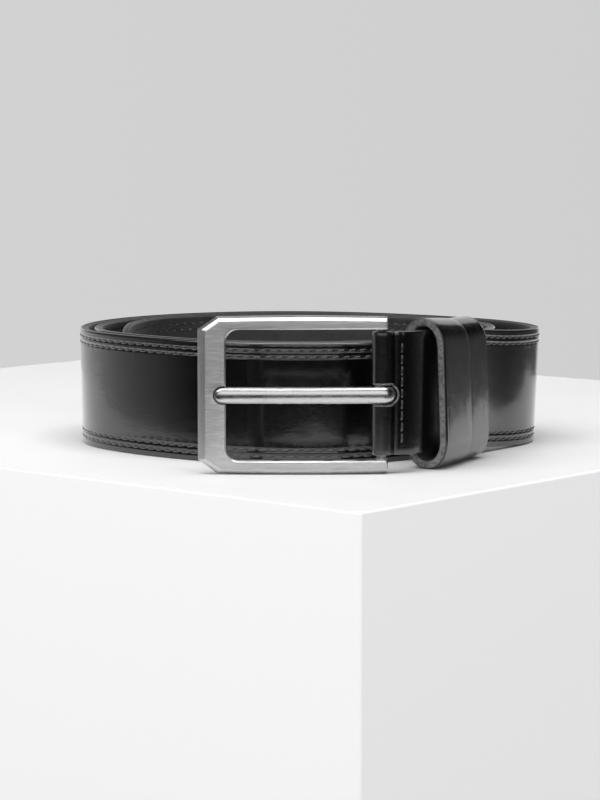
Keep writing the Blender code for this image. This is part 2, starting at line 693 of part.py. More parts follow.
def prong_rings():
    rings = []
    r_in = BAR_R + 0.12
    # tip, resting in its seat
    seat_floor = BAR_Y - FRAME_FRONT + 1.35
    half = PRONG_W / 2
    length = PRONG_REACH
    for k in (0.0, 0.35, 0.9, 1.7, 2.6):
        u = 1 - k / half if k < half else 0.0
        w = half * math.sqrt(max(1 - u * u, 0.03))
        x = BAR_X - length + k
        t = PRONG_T * (0.62 + 0.38 * min(k / half, 1.0))
        rings.append(prong_section(x, seat_floor - 0.12 - bow_prong(x), t, w * 0.985))
    for x in np.linspace(BAR_X - length + 6, BAR_X - 6.0, 10):
        rings.append(prong_section(x, seat_floor - 0.12 - bow_prong(x), PRONG_T, half * (1 + 0.03 * (x - BAR_X + length) / length)))
    # over the bar and round it, closing behind
    for deg in range(-112, 161, 16):
        a = math.radians(deg)
        d = np.array([math.cos(a), math.sin(a)])
        base = np.array([BAR_X, BAR_Y]) + d * r_in
        thick = PRONG_R_OUT - r_in
        if deg > 60:
            thick -= (PRONG_R_OUT - r_in - 1.5) * (deg - 60) / 100
        rings.append(prong_section(base[0], base[1], thick, half * 1.03, (-d[1], d[0])))
    return rings


def bow_prong(x):
    u = (x - (BAR_X - PRONG_REACH)) / PRONG_REACH
    return 0.9 * 4 * u * (1 - u) * (1 if 0 <= u <= 1 else 0)


prong = finish("buckle_prong", loft(prong_rings()), STEEL, 35.0)
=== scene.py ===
import math

import bmesh
import bpy
import numpy as np
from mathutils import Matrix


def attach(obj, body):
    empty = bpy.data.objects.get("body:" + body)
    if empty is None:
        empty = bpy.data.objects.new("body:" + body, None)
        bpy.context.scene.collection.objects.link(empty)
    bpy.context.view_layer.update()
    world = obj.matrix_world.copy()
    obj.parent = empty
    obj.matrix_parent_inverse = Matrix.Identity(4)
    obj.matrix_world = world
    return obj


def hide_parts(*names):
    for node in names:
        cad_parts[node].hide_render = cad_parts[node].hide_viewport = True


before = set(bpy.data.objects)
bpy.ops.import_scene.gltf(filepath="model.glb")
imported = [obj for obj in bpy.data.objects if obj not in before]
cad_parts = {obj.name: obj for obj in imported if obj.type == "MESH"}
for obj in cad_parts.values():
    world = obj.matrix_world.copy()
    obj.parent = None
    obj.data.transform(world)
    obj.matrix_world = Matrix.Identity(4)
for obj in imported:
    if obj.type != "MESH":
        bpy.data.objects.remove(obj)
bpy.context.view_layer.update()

MM = 0.001
rng = np.random.default_rng(7)

# ------------------------------------------------------------------ sizes, mm (the same as the part's own)
COIL_X, COIL_Y = -0.67, 12.49
STRAP_W, FOLD_W = 40.0, 39.4
FACE_T, FACE_T_FOLD, BACK_T, GLUE = 1.70, 1.60, 1.30, 0.12
LAYER_PITCH = 4.25
BAR_X, BAR_Y, BAR_R = 22.63, -76.51, 1.40
FOLD_R_IN = 1.52
FRAME_H, FRAME_LEFT, FRAME_RIGHT = 50.6, 58.5, 1.95
FRAME_IN_Z0, FRAME_IN_Z1, FRAME_IN_LEFT = 4.3, 46.3, 49.6
FRAME_T, FRAME_FRONT, BEVEL, ARM_BEVEL, CUT_BEVEL = 3.6, 3.55, 2.45, 1.45, 1.9
CORNER_X, CORNER_Z, IN_R, ARCH, BULGE = 6.0, 4.6, 4.2, 1.3, 0.35
PRONG_W, PRONG_T, PRONG_R_OUT, PRONG_REACH, PRONG_Z = 5.2, 2.5, 4.3, 53.3, 25.3
SLOT_HALF, SLOT_END = 3.0, 5.6
KEEPER_T, KEEPER_IN_N, KEEPER_CENTRE_N = 2.6, 9.8, -0.8
KEEPER_1_W, KEEPER_2_W = 20.0, 15.5
KEEPER_1_S, KEEPER_2_S, KEEPER_1_TURN = 25.3, 43.3, -5.0
HOLE_R = 2.6
FLAP_END, LINING_START, SEAM_START = 58.5, 60.5, 48.0
ROWS = (2.6, 4.8)
PITCH, STITCH = 3.75, 3.2
SPLIT = 24.0
TIP_LENGTH = 30.0

TURN_1 = [(-62.0, 84.6), (-56.0, 79.8), (-50.0, 75.9), (-41.0, 71.9), (-28.6, 70.7), (-21.6, 72.8),
          (-14.6, 76.4), (-8.0, 80.0), (-1.5, 81.0), (5.0, 79.4), (12.0, 76.3), (19.4, 73.1),
          (26.0, 70.2), (34.0, 67.3), (48.0, 64.6), (60.0, 63.9), (74.0, 64.9), (88.0, 66.7),
          (103.0, 69.2), (118.0, 71.4), (130.0, 73.2), (141.0, 74.9), (153.0, 76.6), (163.0, 78.1),
          (171.0, 79.0), (178.0, 79.4), (185.0, 79.1), (192.0, 79.1), (199.5, 76.9), (209.0, 73.5),
          (221.0, 70.6), (232.5, 69.9), (251.0, 70.0), (267.5, 70.0), (283.7, 69.3)]
TURN_2_FREE = [(293.4, 67.8), (301.6, 66.2), (310.3, 63.9), (319.8, 61.8), (330.9, 60.9), (341.6, 62.2),
               (350.4, 64.6), (358.3, 66.4), (366.0, 66.8), (374.0, 65.9), (383.0, 63.9), (394.0, 61.6)]
JOIN_2 = 408.0
TIP_FREE = [(874.0, 66.9), (882.0, 66.0), (890.0, 65.3), (898.0, 65.2), (906.0, 65.6), (914.0, 66.4)]
LEAVE_3, TIP_ANGLE = 866.0, 912.0


# ------------------------------------------------------------------ the strap's path
def smooth(xs, ys, sigma):
    step = xs[1] - xs[0]
    out = np.empty_like(ys)
    for i, x in enumerate(xs):
        half = int(3.2 * sigma[i] / step) + 1
        a, b = max(0, i - half), min(len(xs), i + half + 1)
        lean = min(i - a, b - 1 - i)
        a, b = i - lean, i + lean + 1
        w = np.exp(-0.5 * ((xs[a:b] - x) / sigma[i]) ** 2)
        out[i] = (w * ys[a:b]).sum() / w.sum()
    return out


def radius_table():
    step = 0.5
    xs = np.arange(TURN_1[0][0], TIP_ANGLE + step / 2, step)
    first = np.array(TURN_1)
    free = np.array([TURN_1[-1]] + TURN_2_FREE)
    tip = np.array(TIP_FREE)
    ys = np.zeros_like(xs)
    for i, a in enumerate(xs):
        if a <= TURN_1[-1][0]:
            ys[i] = np.interp(a, first[:, 0], first[:, 1])
        elif a <= JOIN_2:
            end = np.interp(JOIN_2 - 360, first[:, 0], first[:, 1]) - LAYER_PITCH
            pts = np.vstack([free, [[JOIN_2, end]]])
            ys[i] = np.interp(a, pts[:, 0], pts[:, 1])
        elif a <= LEAVE_3:
            ys[i] = ys[int(round((a - 360 - xs[0]) / step))] - LAYER_PITCH
        else:
            start = int(round((LEAVE_3 - xs[0]) / step))
            pts = np.vstack([[[LEAVE_3, ys[start]]], tip])
            ys[i] = np.interp(a, pts[:, 0], pts[:, 1])
    sigma = np.full_like(xs, 7.0)
    sigma[xs < -40] = 3.0
    near = (xs >= -40) & (xs < -20)
    sigma[near] = 3.0 + 4.0 * (xs[near] + 40) / 20
    return xs, smooth(xs, ys, sigma)


R_AT, R_IS = radius_table()


def on_spiral(angle):
    r = np.interp(angle, R_AT, R_IS)
    a = np.radians(angle)
    return np.stack([COIL_X + r * np.cos(a), COIL_Y + r * np.sin(a)], -1)


def build_path():
    join = on_spiral(-54.0)
    ahead = on_spiral(-53.0) - on_spiral(-55.0)
    ahead = ahead / np.hypot(*ahead)
    pinch = np.array([BAR_X + 4.7, BAR_Y - FACE_T_FOLD - 0.08])
    a = math.radians(16.0)
    span = float(np.linalg.norm(join - pinch))
    t0, t1 = span * np.array([math.cos(a), math.sin(a)]), span * ahead
    u = np.linspace(0, 1, 90)[:, None]
    lead = (2 * u**3 - 3 * u**2 + 1) * pinch + (u**3 - 2 * u**2 + u) * t0 + (3 * u**2 - 2 * u**3) * join + (u**3 - u**2) * t1
    rest = on_spiral(np.arange(-53.5, TIP_ANGLE + 0.01, 0.5))
    pts = np.vstack([lead, rest])
    # a light smoothing takes out the kinks of the half degree steps
    for _ in range(30):
        pts[1:-1] = 0.25 * pts[:-2] + 0.5 * pts[1:-1] + 0.25 * pts[2:]
    d = np.hypot(*(pts[1:] - pts[:-1]).T)
    s = np.concatenate([[0], np.cumsum(d)])
    t = np.gradient(pts, s, axis=0)
    t /= np.hypot(t[:, 0], t[:, 1])[:, None]
    return s, pts, np.stack([t[:, 1], -t[:, 0]], -1)


PS, PP, PN = build_path()
TOTAL = float(PS[-1])
LIFT_AT = [0, 8, 17, 30, 44, 53, 61, 74, 88, 104, 5000]
LIFT_IS = [5.75, 5.6, 5.2, 4.3, 3.4, 2.75, 2.05, 0.9, 0.2, 0.0, 0.0]
LEAN_AT = [0, 30, 135, 165, 400, 5000]
LEAN_IS = [0, 0, 2.5, 2.5, 0.0, 0.0]


def ease(s, xs, ys):
    """Piecewise cubic through the points, level where they turn."""
    s = np.asarray(s, float)
    return sum(np.interp(s + k, xs, ys) * w for k, w in ((-6, .1), (-4, .12), (-2, .18), (0, .2), (2, .18), (4, .12), (6, .1)))


def along(s):
    s = np.clip(s, 0, TOTAL)
    p = np.stack([np.interp(s, PS, PP[:, 0]), np.interp(s, PS, PP[:, 1])], -1)
    n = np.stack([np.interp(s, PS, PN[:, 0]), np.interp(s, PS, PN[:, 1])], -1)
    return p, n / np.hypot(n[..., 0], n[..., 1])[..., None]


def half_width(s, inset=0.0):
    s = np.asarray(s, float)
    w = np.interp(s, [0, 6, 30], [FOLD_W / 2, FOLD_W / 2, STRAP_W / 2]) - inset
    left = TOTAL - inset - s
    u = np.clip(1 - np.maximum(left, 0) / TIP_LENGTH, 0, 1)
    return np.where(left < TIP_LENGTH, w * np.clip(1 - u**2.4, 0, 1) ** 0.62, w)


def z_middle(s):
    return ease(s, LIFT_AT, LIFT_IS) + STRAP_W / 2


def surf(s, h, off):
    """Point at s along the strap, h above its mid width, off outside the outer surface."""
    p, n = along(s)
    k = ease(s, LEAN_AT, LEAN_IS) / STRAP_W
    o = k * (h + STRAP_W / 2) + off
    return np.stack([p[..., 0] + n[..., 0] * o, p[..., 1] + n[..., 1] * o, z_middle(s) + h], -1)


# ------------------------------------------------------------------ mesh helpers
def make(name, verts, faces, mats, uvs=None, mat_of=None, sharp=None, smooth_all=True):
    """verts in mm, faces as an (n, 4) array or a list, uvs per vertex."""
    mesh = bpy.data.meshes.new(name)
    mesh.from_pydata((np.asarray(verts, float) * MM).tolist(), [], [tuple(int(i) for i in f) for f in faces])
    for m in mats:
        mesh.materials.append(m)
    if mat_of is not None:
        mesh.polygons.foreach_set("material_index", np.asarray(mat_of, np.int32))
    if uvs is not None:
        layer = mesh.uv_layers.new(name="UVMap")
        idx = np.zeros(len(mesh.loops), np.int32)
        mesh.loops.foreach_get("vertex_index", idx)
        layer.data.foreach_set("uv", np.asarray(uvs, np.float32)[idx].ravel())
    mesh.polygons.foreach_set("use_smooth", np.full(len(mesh.polygons), smooth_all))
    if sharp is not None:
        mesh.set_sharp_from_angle(angle=math.radians(sharp))
    mesh.validate()
    mesh.update()
    obj = bpy.data.objects.new(name, mesh)
    bpy.context.scene.collection.objects.link(obj)
    return obj


def grid_faces(rows, cols, wrap_cols=True, wrap_rows=False, cap=False):
    r = np.arange(rows if wrap_rows else rows - 1)
    c = np.arange(cols if wrap_cols else cols - 1)
    R, C = np.meshgrid(r, c, indexing="ij")
    R2, C2 = (R + 1) % rows, (C + 1) % cols
    f = np.stack([R * cols + C, R * cols + C2, R2 * cols + C2, R2 * cols + C], -1).reshape(-1, 4)
    faces = f.tolist()
    if cap:
        faces.append(list(range(cols - 1, -1, -1)))
        faces.append(list(range((rows - 1) * cols, rows * cols)))
    return faces


def fix_normals(obj):
    bm = bmesh.new()
    bm.from_mesh(obj.data)
    bmesh.ops.recalc_face_normals(bm, faces=bm.faces[:])
    bm.to_mesh(obj.data)
    bm.free()


def apply_modifiers(obj):
    dg = bpy.context.evaluated_depsgraph_get()
    mesh = bpy.data.meshes.new_from_object(obj.evaluated_get(dg))
    obj.modifiers.clear()
    obj.data = mesh
    return obj


def cut(obj, cutter):
    m = obj.modifiers.new("cut", "BOOLEAN")
    m.operation, m.object, m.solver, m.material_mode = "DIFFERENCE", cutter, "EXACT", "TRANSFER"
    apply_modifiers(obj)


# ------------------------------------------------------------------ materials
class Nodes:
    """Small helper that builds a node material."""

    def __init__(self, name, **base):
        self.m = bpy.data.materials.new(name)
        self.m.use_nodes = True
        self.t = self.m.node_tree
        self.b = self.t.nodes["Principled BSDF"]
        for k, v in base.items():
            k = k.replace("_", " ")
            s = self.b.inputs[k]
            s.default_value = (v, v, v, 1) if k == "Base Color" else v

    def node(self, kind, inputs=None, **props):
        n = self.t.nodes.new(kind)
        for k, v in props.items():
            setattr(n, k, v)
        for k, v in (inputs or {}).items():
            s = n.inputs[k]
            if isinstance(v, bpy.types.NodeSocket):
                self.t.links.new(v, s)
            else:
                s.default_value = v
        return n

    def coords(self, which="UV", scale=(1, 1, 1), rotation=(0, 0, 0)):
        c = self.node("ShaderNodeTexCoord").outputs[which]
        return self.node("ShaderNodeMapping", {"Vector": c, "Scale": scale, "Rotation": rotation}).outputs[0]

    def noise(self, vec, scale, detail=3.0, rough=0.55, distort=0.0):
        return self.node("ShaderNodeTexNoise", {"Vector": vec, "Scale": scale, "Detail": detail, "Roughness": rough, "Distortion": distort}).outputs["Fac"]

    def voronoi(self, vec, scale, feature="DISTANCE_TO_EDGE", randomness=1.0):
        return self.node("ShaderNodeTexVoronoi", {"Vector": vec, "Scale": scale, "Randomness": randomness}, feature=feature).outputs["Distance"]

    def math(self, op, a, b=0.0, c=0.0, clamp=False):
        n = self.node("ShaderNodeMath", {0: a, 1: b, 2: c}, operation=op)
        n.use_clamp = clamp
        return n.outputs[0]

    def remap(self, x, a0, a1, b0, b1, smooth=False):
        return self.node("ShaderNodeMapRange", {"Value": x, "From Min": a0, "From Max": a1, "To Min": b0, "To Max": b1},
                         interpolation_type="SMOOTHSTEP" if smooth else "LINEAR").outputs[0]

    def grey(self, value):
        return self.node("ShaderNodeCombineColor", {0: value, 1: value, 2: value}).outputs[0]

    def bump(self, height, strength, distance, normal=None):
        i = {"Height": height, "Strength": strength, "Distance": distance}
        if normal is not None:
            i["Normal"] = normal
        return self.node("ShaderNodeBump", i).outputs[0]

    def set(self, **links):
        for k, v in links.items():
            self.t.links.new(v, self.b.inputs[k.replace("_", " ")])
        return self.m


def face_leather(name="polished_black_leather", low=0.10, high=0.15, coat=0.06):
    n = Nodes(name, Base_Color=0.003, IOR=1.5, Coat_Weight=1.0, Coat_Roughness=coat, Coat_IOR=1.55)
    uv = n.coords("UV")
    sep = n.node("ShaderNodeSeparateXYZ", {0: uv}).outputs
    grain = n.voronoi(uv, 19.0)
    grain = n.remap(grain, 0.0, 0.16, 0.0, 1.0, True)
    fine = n.noise(uv, 70.0, 3.0, 0.6)
    mottle = n.noise(uv, 1.6, 4.0, 0.6)
    drift = n.noise(n.coords("UV", (0.5, 0.8, 1)), 0.8, 2.0, 0.5)
    wrinkle = n.noise(n.coords("UV", (0.8, 2.6, 1)), 3.4, 4.0, 0.62, 0.6)
    pores = n.remap(n.voronoi(uv, 34.0, "F1"), 0.03, 0.11, 0.0, 1.0, True)
    # wear: the rounded edges are rubbed a little paler and duller
    edge = n.math("ABSOLUTE", sep[1])
    rub = n.remap(edge, 1.80, 1.98, 0.0, 1.0, True)
    rub = n.math("MULTIPLY", rub, n.remap(n.noise(uv, 3.5, 3.0), 0.35, 0.7, 0.2, 1.0))
    tone = n.remap(mottle, 0.3, 0.75, 0.0024, 0.0044)
    tone = n.math("ADD", tone, n.math("MULTIPLY", rub, 0.014))
    rough = n.remap(mottle, 0.25, 0.8, low, high)
    rough = n.math("ADD", rough, n.math("MULTIPLY", n.remap(fine, 0.3, 0.7, -1.0, 1.0), 0.03))
    rough = n.math("ADD", rough, n.math("MULTIPLY", rub, 0.10))
    top = n.bump(drift, 0.28, 0.0005)
    top = n.bump(wrinkle, 0.16, 0.00010, top)
    top = n.bump(grain, 0.10, 0.000025, top)
    b = n.bump(grain, 0.22, 0.000035, top)
    b = n.bump(pores, 0.14, 0.00004, b)
    b = n.bump(fine, 0.18, 0.00002, b)
    return n.set(Base_Color=n.grey(tone), Roughness=rough, Normal=b, Coat_Normal=top)


def edge_paint():
    n = Nodes("painted_leather_edge", Base_Color=0.014, IOR=1.5, Roughness=0.4, Coat_Weight=0.15, Coat_Roughness=0.3)
    c = n.coords("Object", (1000, 1000, 1000))
    streak = n.noise(c, 0.9, 4.0, 0.6)
    fine = n.noise(c, 5.5, 3.0, 0.6)
    tone = n.remap(streak, 0.3, 0.75, 0.018, 0.055)
    rough = n.remap(fine, 0.3, 0.7, 0.30, 0.52)
    b = n.bump(streak, 0.5, 0.00012)
    b = n.bump(fine, 0.35, 0.00005, b)
    return n.set(Base_Color=n.grey(tone), Roughness=rough, Normal=b)


def raw_edge(name, low, high):
    """Cut leather: felted fibres, paler in streaks that run along the cut."""
    n = Nodes(name, Base_Color=0.08, Roughness=0.85, IOR=1.4, Sheen_Weight=0.25, Sheen_Roughness=0.5)
    c = n.coords("Object", (1000, 1000, 1000))
    clump = n.noise(c, 0.75, 5.0, 0.68, 0.8)
    fibre = n.noise(c, 4.5, 4.0, 0.7, 0.5)
    both = n.math("ADD", n.math("MULTIPLY", clump, 0.6), n.math("MULTIPLY", fibre, 0.4))
    tone = n.remap(both, 0.36, 0.64, low, high, True)
    b = n.bump(clump, 0.7, 0.00028)
    b = n.bump(fibre, 0.7, 0.00012, b)
    return n.set(Base_Color=n.grey(tone), Normal=b)


def lining_leather():
    n = Nodes("matt_lining_leather", Base_Color=0.022, Roughness=0.5, IOR=1.48, Sheen_Weight=0.12, Sheen_Roughness=0.45)
    uv = n.coords("UV")
    cells = n.remap(n.voronoi(uv, 13.0), 0.0, 0.2, 0.0, 1.0, True)
    fine = n.noise(uv, 45.0, 4.0, 0.65)
    mottle = n.noise(uv, 1.3, 4.0, 0.6)
    scuff = n.noise(n.coords("UV", (0.25, 3.0, 1)), 5.0, 3.0, 0.6)
    tone = n.remap(mottle, 0.3, 0.75, 0.014, 0.030)
    tone = n.math("ADD", tone, n.math("MULTIPLY", n.remap(scuff, 0.58, 0.75, 0.0, 1.0, True), 0.010))
    rough = n.remap(fine, 0.25, 0.75, 0.40, 0.60)
    b = n.bump(mottle, 0.3, 0.0004)
    b = n.bump(cells, 0.35, 0.00007, b)
    b = n.bump(fine, 0.3, 0.00004, b)
    return n.set(Base_Color=n.grey(tone), Roughness=rough, Normal=b)


def waxed_thread():
    n = Nodes("waxed_thread", Base_Color=0.03, Roughness=0.33, IOR=1.55, Coat_Weight=1.0, Coat_Roughness=0.14, Coat_IOR=1.75)
    uv = n.coords("UV", (1, 1, 1), (0, 0, 0.9))
    ply = n.node("ShaderNodeTexWave", {"Vector": uv, "Scale": 1.7, "Distortion": 0.4, "Detail": 1.0}, wave_type="BANDS").outputs["Fac"]
    hair = n.noise(n.coords("Object", (1000, 1000, 1000)), 6.0, 3.0, 0.6)
    tone = n.math("MULTIPLY", n.remap(ply, 0.0, 1.0, 0.55, 1.15), n.remap(hair, 0.3, 0.7, 0.008, 0.022))
    rough = n.remap(hair, 0.3, 0.7, 0.20, 0.36)
    b = n.bump(ply, 0.35, 0.00008)
    b = n.bump(hair, 0.3, 0.00003, b)
    return n.set(Base_Color=n.grey(tone), Roughness=rough, Normal=b)


def brushed(name, tone_low, tone_high, rough_low, rough_high, aniso, scale=(18, 900, 900)):
    """Metal brushed along X: the marks are long in X and fine across it."""
    n = Nodes(name, Base_Color=0.4, Metallic=1.0, Anisotropic=aniso)
    c = n.coords("Object", tuple(scale))
    marks = n.noise(c, 3.0, 4.0, 0.65)
    deep = n.noise(n.coords("Object", (scale[0] * 1.6, scale[1] * 0.4, scale[2] * 0.4)), 2.2, 3.0, 0.6)
    cloud = n.noise(n.coords("Object", (1000, 1000, 1000)), 0.16, 3.0, 0.5)
    tone = n.math("ADD", n.remap(marks, 0.3, 0.7, tone_low, tone_high), n.remap(cloud, 0.3, 0.7, -0.02, 0.02))
    rough = n.math("ADD", n.remap(marks, 0.3, 0.7, rough_low, rough_high), n.remap(cloud, 0.3, 0.7, -0.02, 0.03))
    b = n.bump(marks, 0.35, 0.00003)
    b = n.bump(deep, 0.25, 0.00004, b)
    tangent = n.node("ShaderNodeTangent", direction_type="UV_MAP", uv_map="UVMap").outputs[0]
    n.t.links.new(tangent, n.b.inputs["Tangent"])
    return n.set(Base_Color=n.grey(tone), Roughness=rough, Normal=b)


def plain_steel():
    n = Nodes("satin_steel", Base_Color=0.45, Metallic=1.0, Roughness=0.3)
    c = n.coords("Object", (1000, 1000, 1000))
    a = n.noise(c, 1.2, 4.0, 0.6)
    return n.set(Base_Color=n.grey(n.remap(a, 0.3, 0.7, 0.34, 0.5)), Roughness=n.remap(a, 0.3, 0.7, 0.24, 0.42), Normal=n.bump(n.noise(c, 7.0, 3.0), 0.2, 0.00003))


FACE = face_leather()
FOLDED = face_leather("stretched_black_leather", 0.25, 0.32, 0.20)
EDGE = edge_paint()
RAW = raw_edge("cut_leather", 0.07, 0.30)
RIM = raw_edge("slot_rim_leather", 0.10, 0.32)
BACKING = raw_edge("leather_flesh_side", 0.012, 0.035)
LINING = lining_leather()
THREAD = waxed_thread()
METAL = brushed("brushed_gunmetal", 0.43, 0.65, 0.38, 0.50, 0.78)
# painted shade: a darker, rougher copy of the gunmetal for the frame's back that faces the strap, keeping its
# reflection in the leather dark; partly an unpolished back as well
METAL_BACK_PAINTED_SHADE = brushed("gunmetal_back_painted_shade", 0.16, 0.24, 0.45, 0.55, 0.3)
BRIGHT = brushed("bright_border", 0.56, 0.70, 0.28, 0.36, 0.35)
PRONG_METAL = brushed("satin_prong", 0.58, 0.65, 0.25, 0.29, 0.1, (8, 260, 260))
STEEL = plain_steel()


# ------------------------------------------------------------------ the strap
def seam_relief(s, e, strength=1.0):
    """How far the surface is pressed in at a distance e from the edge (mm, positive is inwards)."""
    out = np.zeros(np.broadcast(s, e).shape)
    for k, row in enumerate(ROWS):
        phase = (s - SEAM_START) / PITCH + 0.5 * k
        pull = 0.5 + 0.5 * np.cos(2 * np.pi * phase)          # 1 at the needle holes
        d = (e - row) / 0.42
        out = out + np.exp(-d**2) * (0.20 + 0.14 * pull)
        # the leather stands a little proud between the holes, on both sides of the row
        for side in (-1, 1):
            g = (e - row - side * 0.85) / 0.30
            out = out - np.exp(-g**2) * (0.015 + 0.04 * (1 - pull))
    g = (e - (ROWS[0] + ROWS[1]) / 2) / 0.5
    out = out - np.exp(-g**2) * 0.05
    return out * strength


def face_profile(s, hw, t):
    """Cross-section of the face leather: lists of (h, depth, part) for every s. part 0 grain, 1 painted edge, 2 flesh side."""
    e = [0.0, 0.10, 0.28, 0.52, 0.85, 1.3, 1.58, 1.78, 2.0, 2.3, ROWS[0], 2.9, 3.2, 3.45, 3.7, 3.95, 4.2, 4.5, ROWS[1],
         5.1, 5.4, 5.62, 5.85, 6.2, 7.4, 10.5, 14.5]
    drop = {0.0: 0.85, 0.10: 0.50, 0.28: 0.26, 0.52: 0.11, 0.85: 0.03, 1.3: 0.0}
    cols = []
    on = np.clip((s - SEAM_START + 2.0) / 2.0, 0, 1)
    squeeze = np.clip(hw / 20.0, 0.02, 1.0)
    for sign in (-1, 1):
        seq = e if sign < 0 else e[::-1]
        if sign < 0:
            cols.append((-hw, t * np.ones_like(s), 1))
            cols.append((-hw, np.full_like(s, 1.15), 1))
        for x in seq:
            h = sign * (hw - x * squeeze)
            d = np.full_like(s, drop.get(x, 0.0)) + seam_relief(s, x) * on * (squeeze > 0.5)
            cols.append((h, d, 1 if x < 0.2 else 0))
        if sign < 0:
            cols.append((np.zeros_like(s), np.zeros_like(s), 0))
    cols.append((hw, np.full_like(s, 1.15), 1))
    cols.append((hw, t * np.ones_like(s), 1))
    for f in (0.5, 0.0, -0.5):
        cols.append((hw * f, t * np.ones_like(s), 2))
    return cols


def strap_mesh(name, s, mats, t, extra=None):
    hw = half_width(s)
    cols = face_profile(s, hw, t)
    P = np.stack([surf(s, h, -d) for h, d, _ in cols], 1)
    uv = np.stack([np.stack([s / 10, h / 10 + 0 * s], -1) for h, _, _ in cols], 1)
    return P, uv, [c[2] for c in cols]


def profile_materials(parts, rows):
    k = len(parts)
    m = []
    for i in range(k):
        j = (i + 1) % k
        m.append(2 if (parts[i] == 2 or parts[j] == 2) else (1 if (parts[i] == 1 and parts[j] == 1) else 0))
    return np.tile(m, rows)


def tip_spacing(s0, s1, step):
    """Even steps, closer together as the tip rounds off."""
    body = np.arange(s0, s1 - TIP_LENGTH, step)
    n = 70
    u = 1 - (1 - np.linspace(0, 1, n)) ** 2.2
    return np.concatenate([body, (s1 - TIP_LENGTH) + TIP_LENGTH * u * 0.99995])


def main_strap():
    s = tip_spacing(SPLIT, TOTAL, PITCH / 5)
    P, uv, parts = strap_mesh("strap", s, None, np.full_like(s, FACE_T))
    rows, k = P.shape[:2]
    faces = grid_faces(rows, k, cap=True)
    mats = list(profile_materials(parts, rows - 1)) + [2, 1]
    return make("strap_face_leather", P.reshape(-1, 3), faces, [FACE, EDGE, BACKING, RAW], uv.reshape(-1, 2), mats)


CREASE = (((3.33, -0.97), (1.75, -0.35)), ((3.46, -0.92), (2.10, -0.20)), ((3.60, -1.00), (2.50, -0.12)), ((3.78, -1.26), (2.95, -0.08)),
          ((4.02, -1.50), (3.40, -0.06)), ((4.32, -1.62), (3.85, -0.10)))


def fold_strap():
    """The part that wraps the bar: flap, tube and the first stretch, with the slot for the prong."""
    z_mid0 = float(z_middle(0.0))
    rings, uvs = [], []
    w = 0.0

    def add(outer, inner, hw, zm, u, relief=0.0):
        axis = (outer - inner) / np.hypot(*(outer - inner))
        t = float(np.hypot(*(outer - inner)))
        pts, tex = [], []
        e = [0.0, 0.10, 0.28, 0.52, 0.85, 1.3, 2.2, 4.0, 7.0, 11.0, 15.0]
        drop = {0.0: 0.75, 0.10: 0.45, 0.28: 0.24, 0.52: 0.10, 0.85: 0.03}
        seq = [(-hw, t), (-hw, 0.95)] + [(-(hw - x), drop.get(x, 0.0)) for x in e] + [(0.0, 0.0)]
        seq += [((hw - x), drop.get(x, 0.0)) for x in e[::-1]] + [(hw, 0.95), (hw, t), (hw * 0.5, t), (0.0, t), (-hw * 0.5, t)]
        for h, d in seq:
            q = outer - axis * min(d, t)
            pts.append((q[0], q[1], zm + h))
            tex.append((u / 10, h / 10))
        rings.append(pts)
        uvs.append(tex)
    # flap
    fl = np.linspace(FLAP_END, 1.2, 60)
    for s in fl:
        p, n = along(s)
        depth = float(np.interp(s, [0, 12], [FACE_T_FOLD, FACE_T])) + GLUE + 0.1 * float(np.interp(s, [0, 10], [1, 0]))
        k = float(ease(s, LEAN_AT, LEAN_IS)) / STRAP_W * STRAP_W / 2
        add(p - n * (depth + BACK_T - k), p - n * (depth - k), float(half_width(s)), float(z_middle(s)), -w)
        w += (FLAP_END - 1.2) / 59
    # round the bar
    centre = np.array([BAR_X, BAR_Y])
    for a in np.radians(np.linspace(64, 338, 64)):
        d = np.array([math.cos(a), math.sin(a)])
        wide = np.array([1.10 if d[0] > 0 and d[1] < 0 else 1.0, 1.0])
        add(centre + d * (FOLD_R_IN + FACE_T_FOLD) * wide, centre + d * FOLD_R_IN, FOLD_W / 2, z_mid0, -w)
        w += 0.23
    # the crease beside the bar, then along the strap
    for o, i in CREASE:
        add(centre + np.array(o), centre + np.array(i), FOLD_W / 2, z_mid0, -w)
    for s in np.linspace(0.35, SPLIT, 60):
        p, n = along(s)
        pull = 0.10 * math.exp(-((s - 1.9) / 0.8) ** 2)
        t = float(np.interp(s, [0, 12], [FACE_T_FOLD, FACE_T]))
        k = float(ease(s, LEAN_AT, LEAN_IS)) / STRAP_W * STRAP_W / 2
        add(p - n * (pull - k), p - n * (t - k), float(half_width(s)), float(z_middle(s)), s)
    P, uv = np.array(rings), np.array(uvs)
    rows, k = P.shape[:2]
    faces = grid_faces(rows, k, cap=True)
    kinds = [1, 1] + [1] + [0] * 10 + [0] + [0] * 10 + [1] + [1, 1] + [2, 2, 2]
    mats = profile_materials(kinds, rows - 1).reshape(rows - 1, k)
    tube = mats[60:124]
    tube[tube == 0] = 4
    mats = list(mats.ravel()) + [3, 3]
    return make("strap_fold_leather", P.reshape(-1, 3), faces, [FACE, EDGE, BACKING, RAW, FOLDED], uv.reshape(-1, 2), mats)


def prism_xz(name, outline, y0, y1, mat):
    k = len(outline)
    v = [(x, y0, z) for x, z in outline] + [(x, y1, z) for x, z in outline]
    faces = [(i, (i + 1) % k, k + (i + 1) % k, k + i) for i in range(k)] + [list(range(k - 1, -1, -1)), list(range(k, 2 * k))]
    o = make(name, v, faces, [mat], np.zeros((2 * k, 2)))
    fix_normals(o)
    return o


def slot_outline(r, end):
    pts = [(BAR_X - 8, PRONG_Z - r), (BAR_X + end - r, PRONG_Z - r)]
    for i in range(1, 20):
        a = -math.pi / 2 + math.pi * i / 20
        pts.append((BAR_X + end - r + r * math.cos(a), PRONG_Z + r * math.sin(a)))
    return pts + [(BAR_X + end - r, PRONG_Z + r), (BAR_X - 8, PRONG_Z + r)]


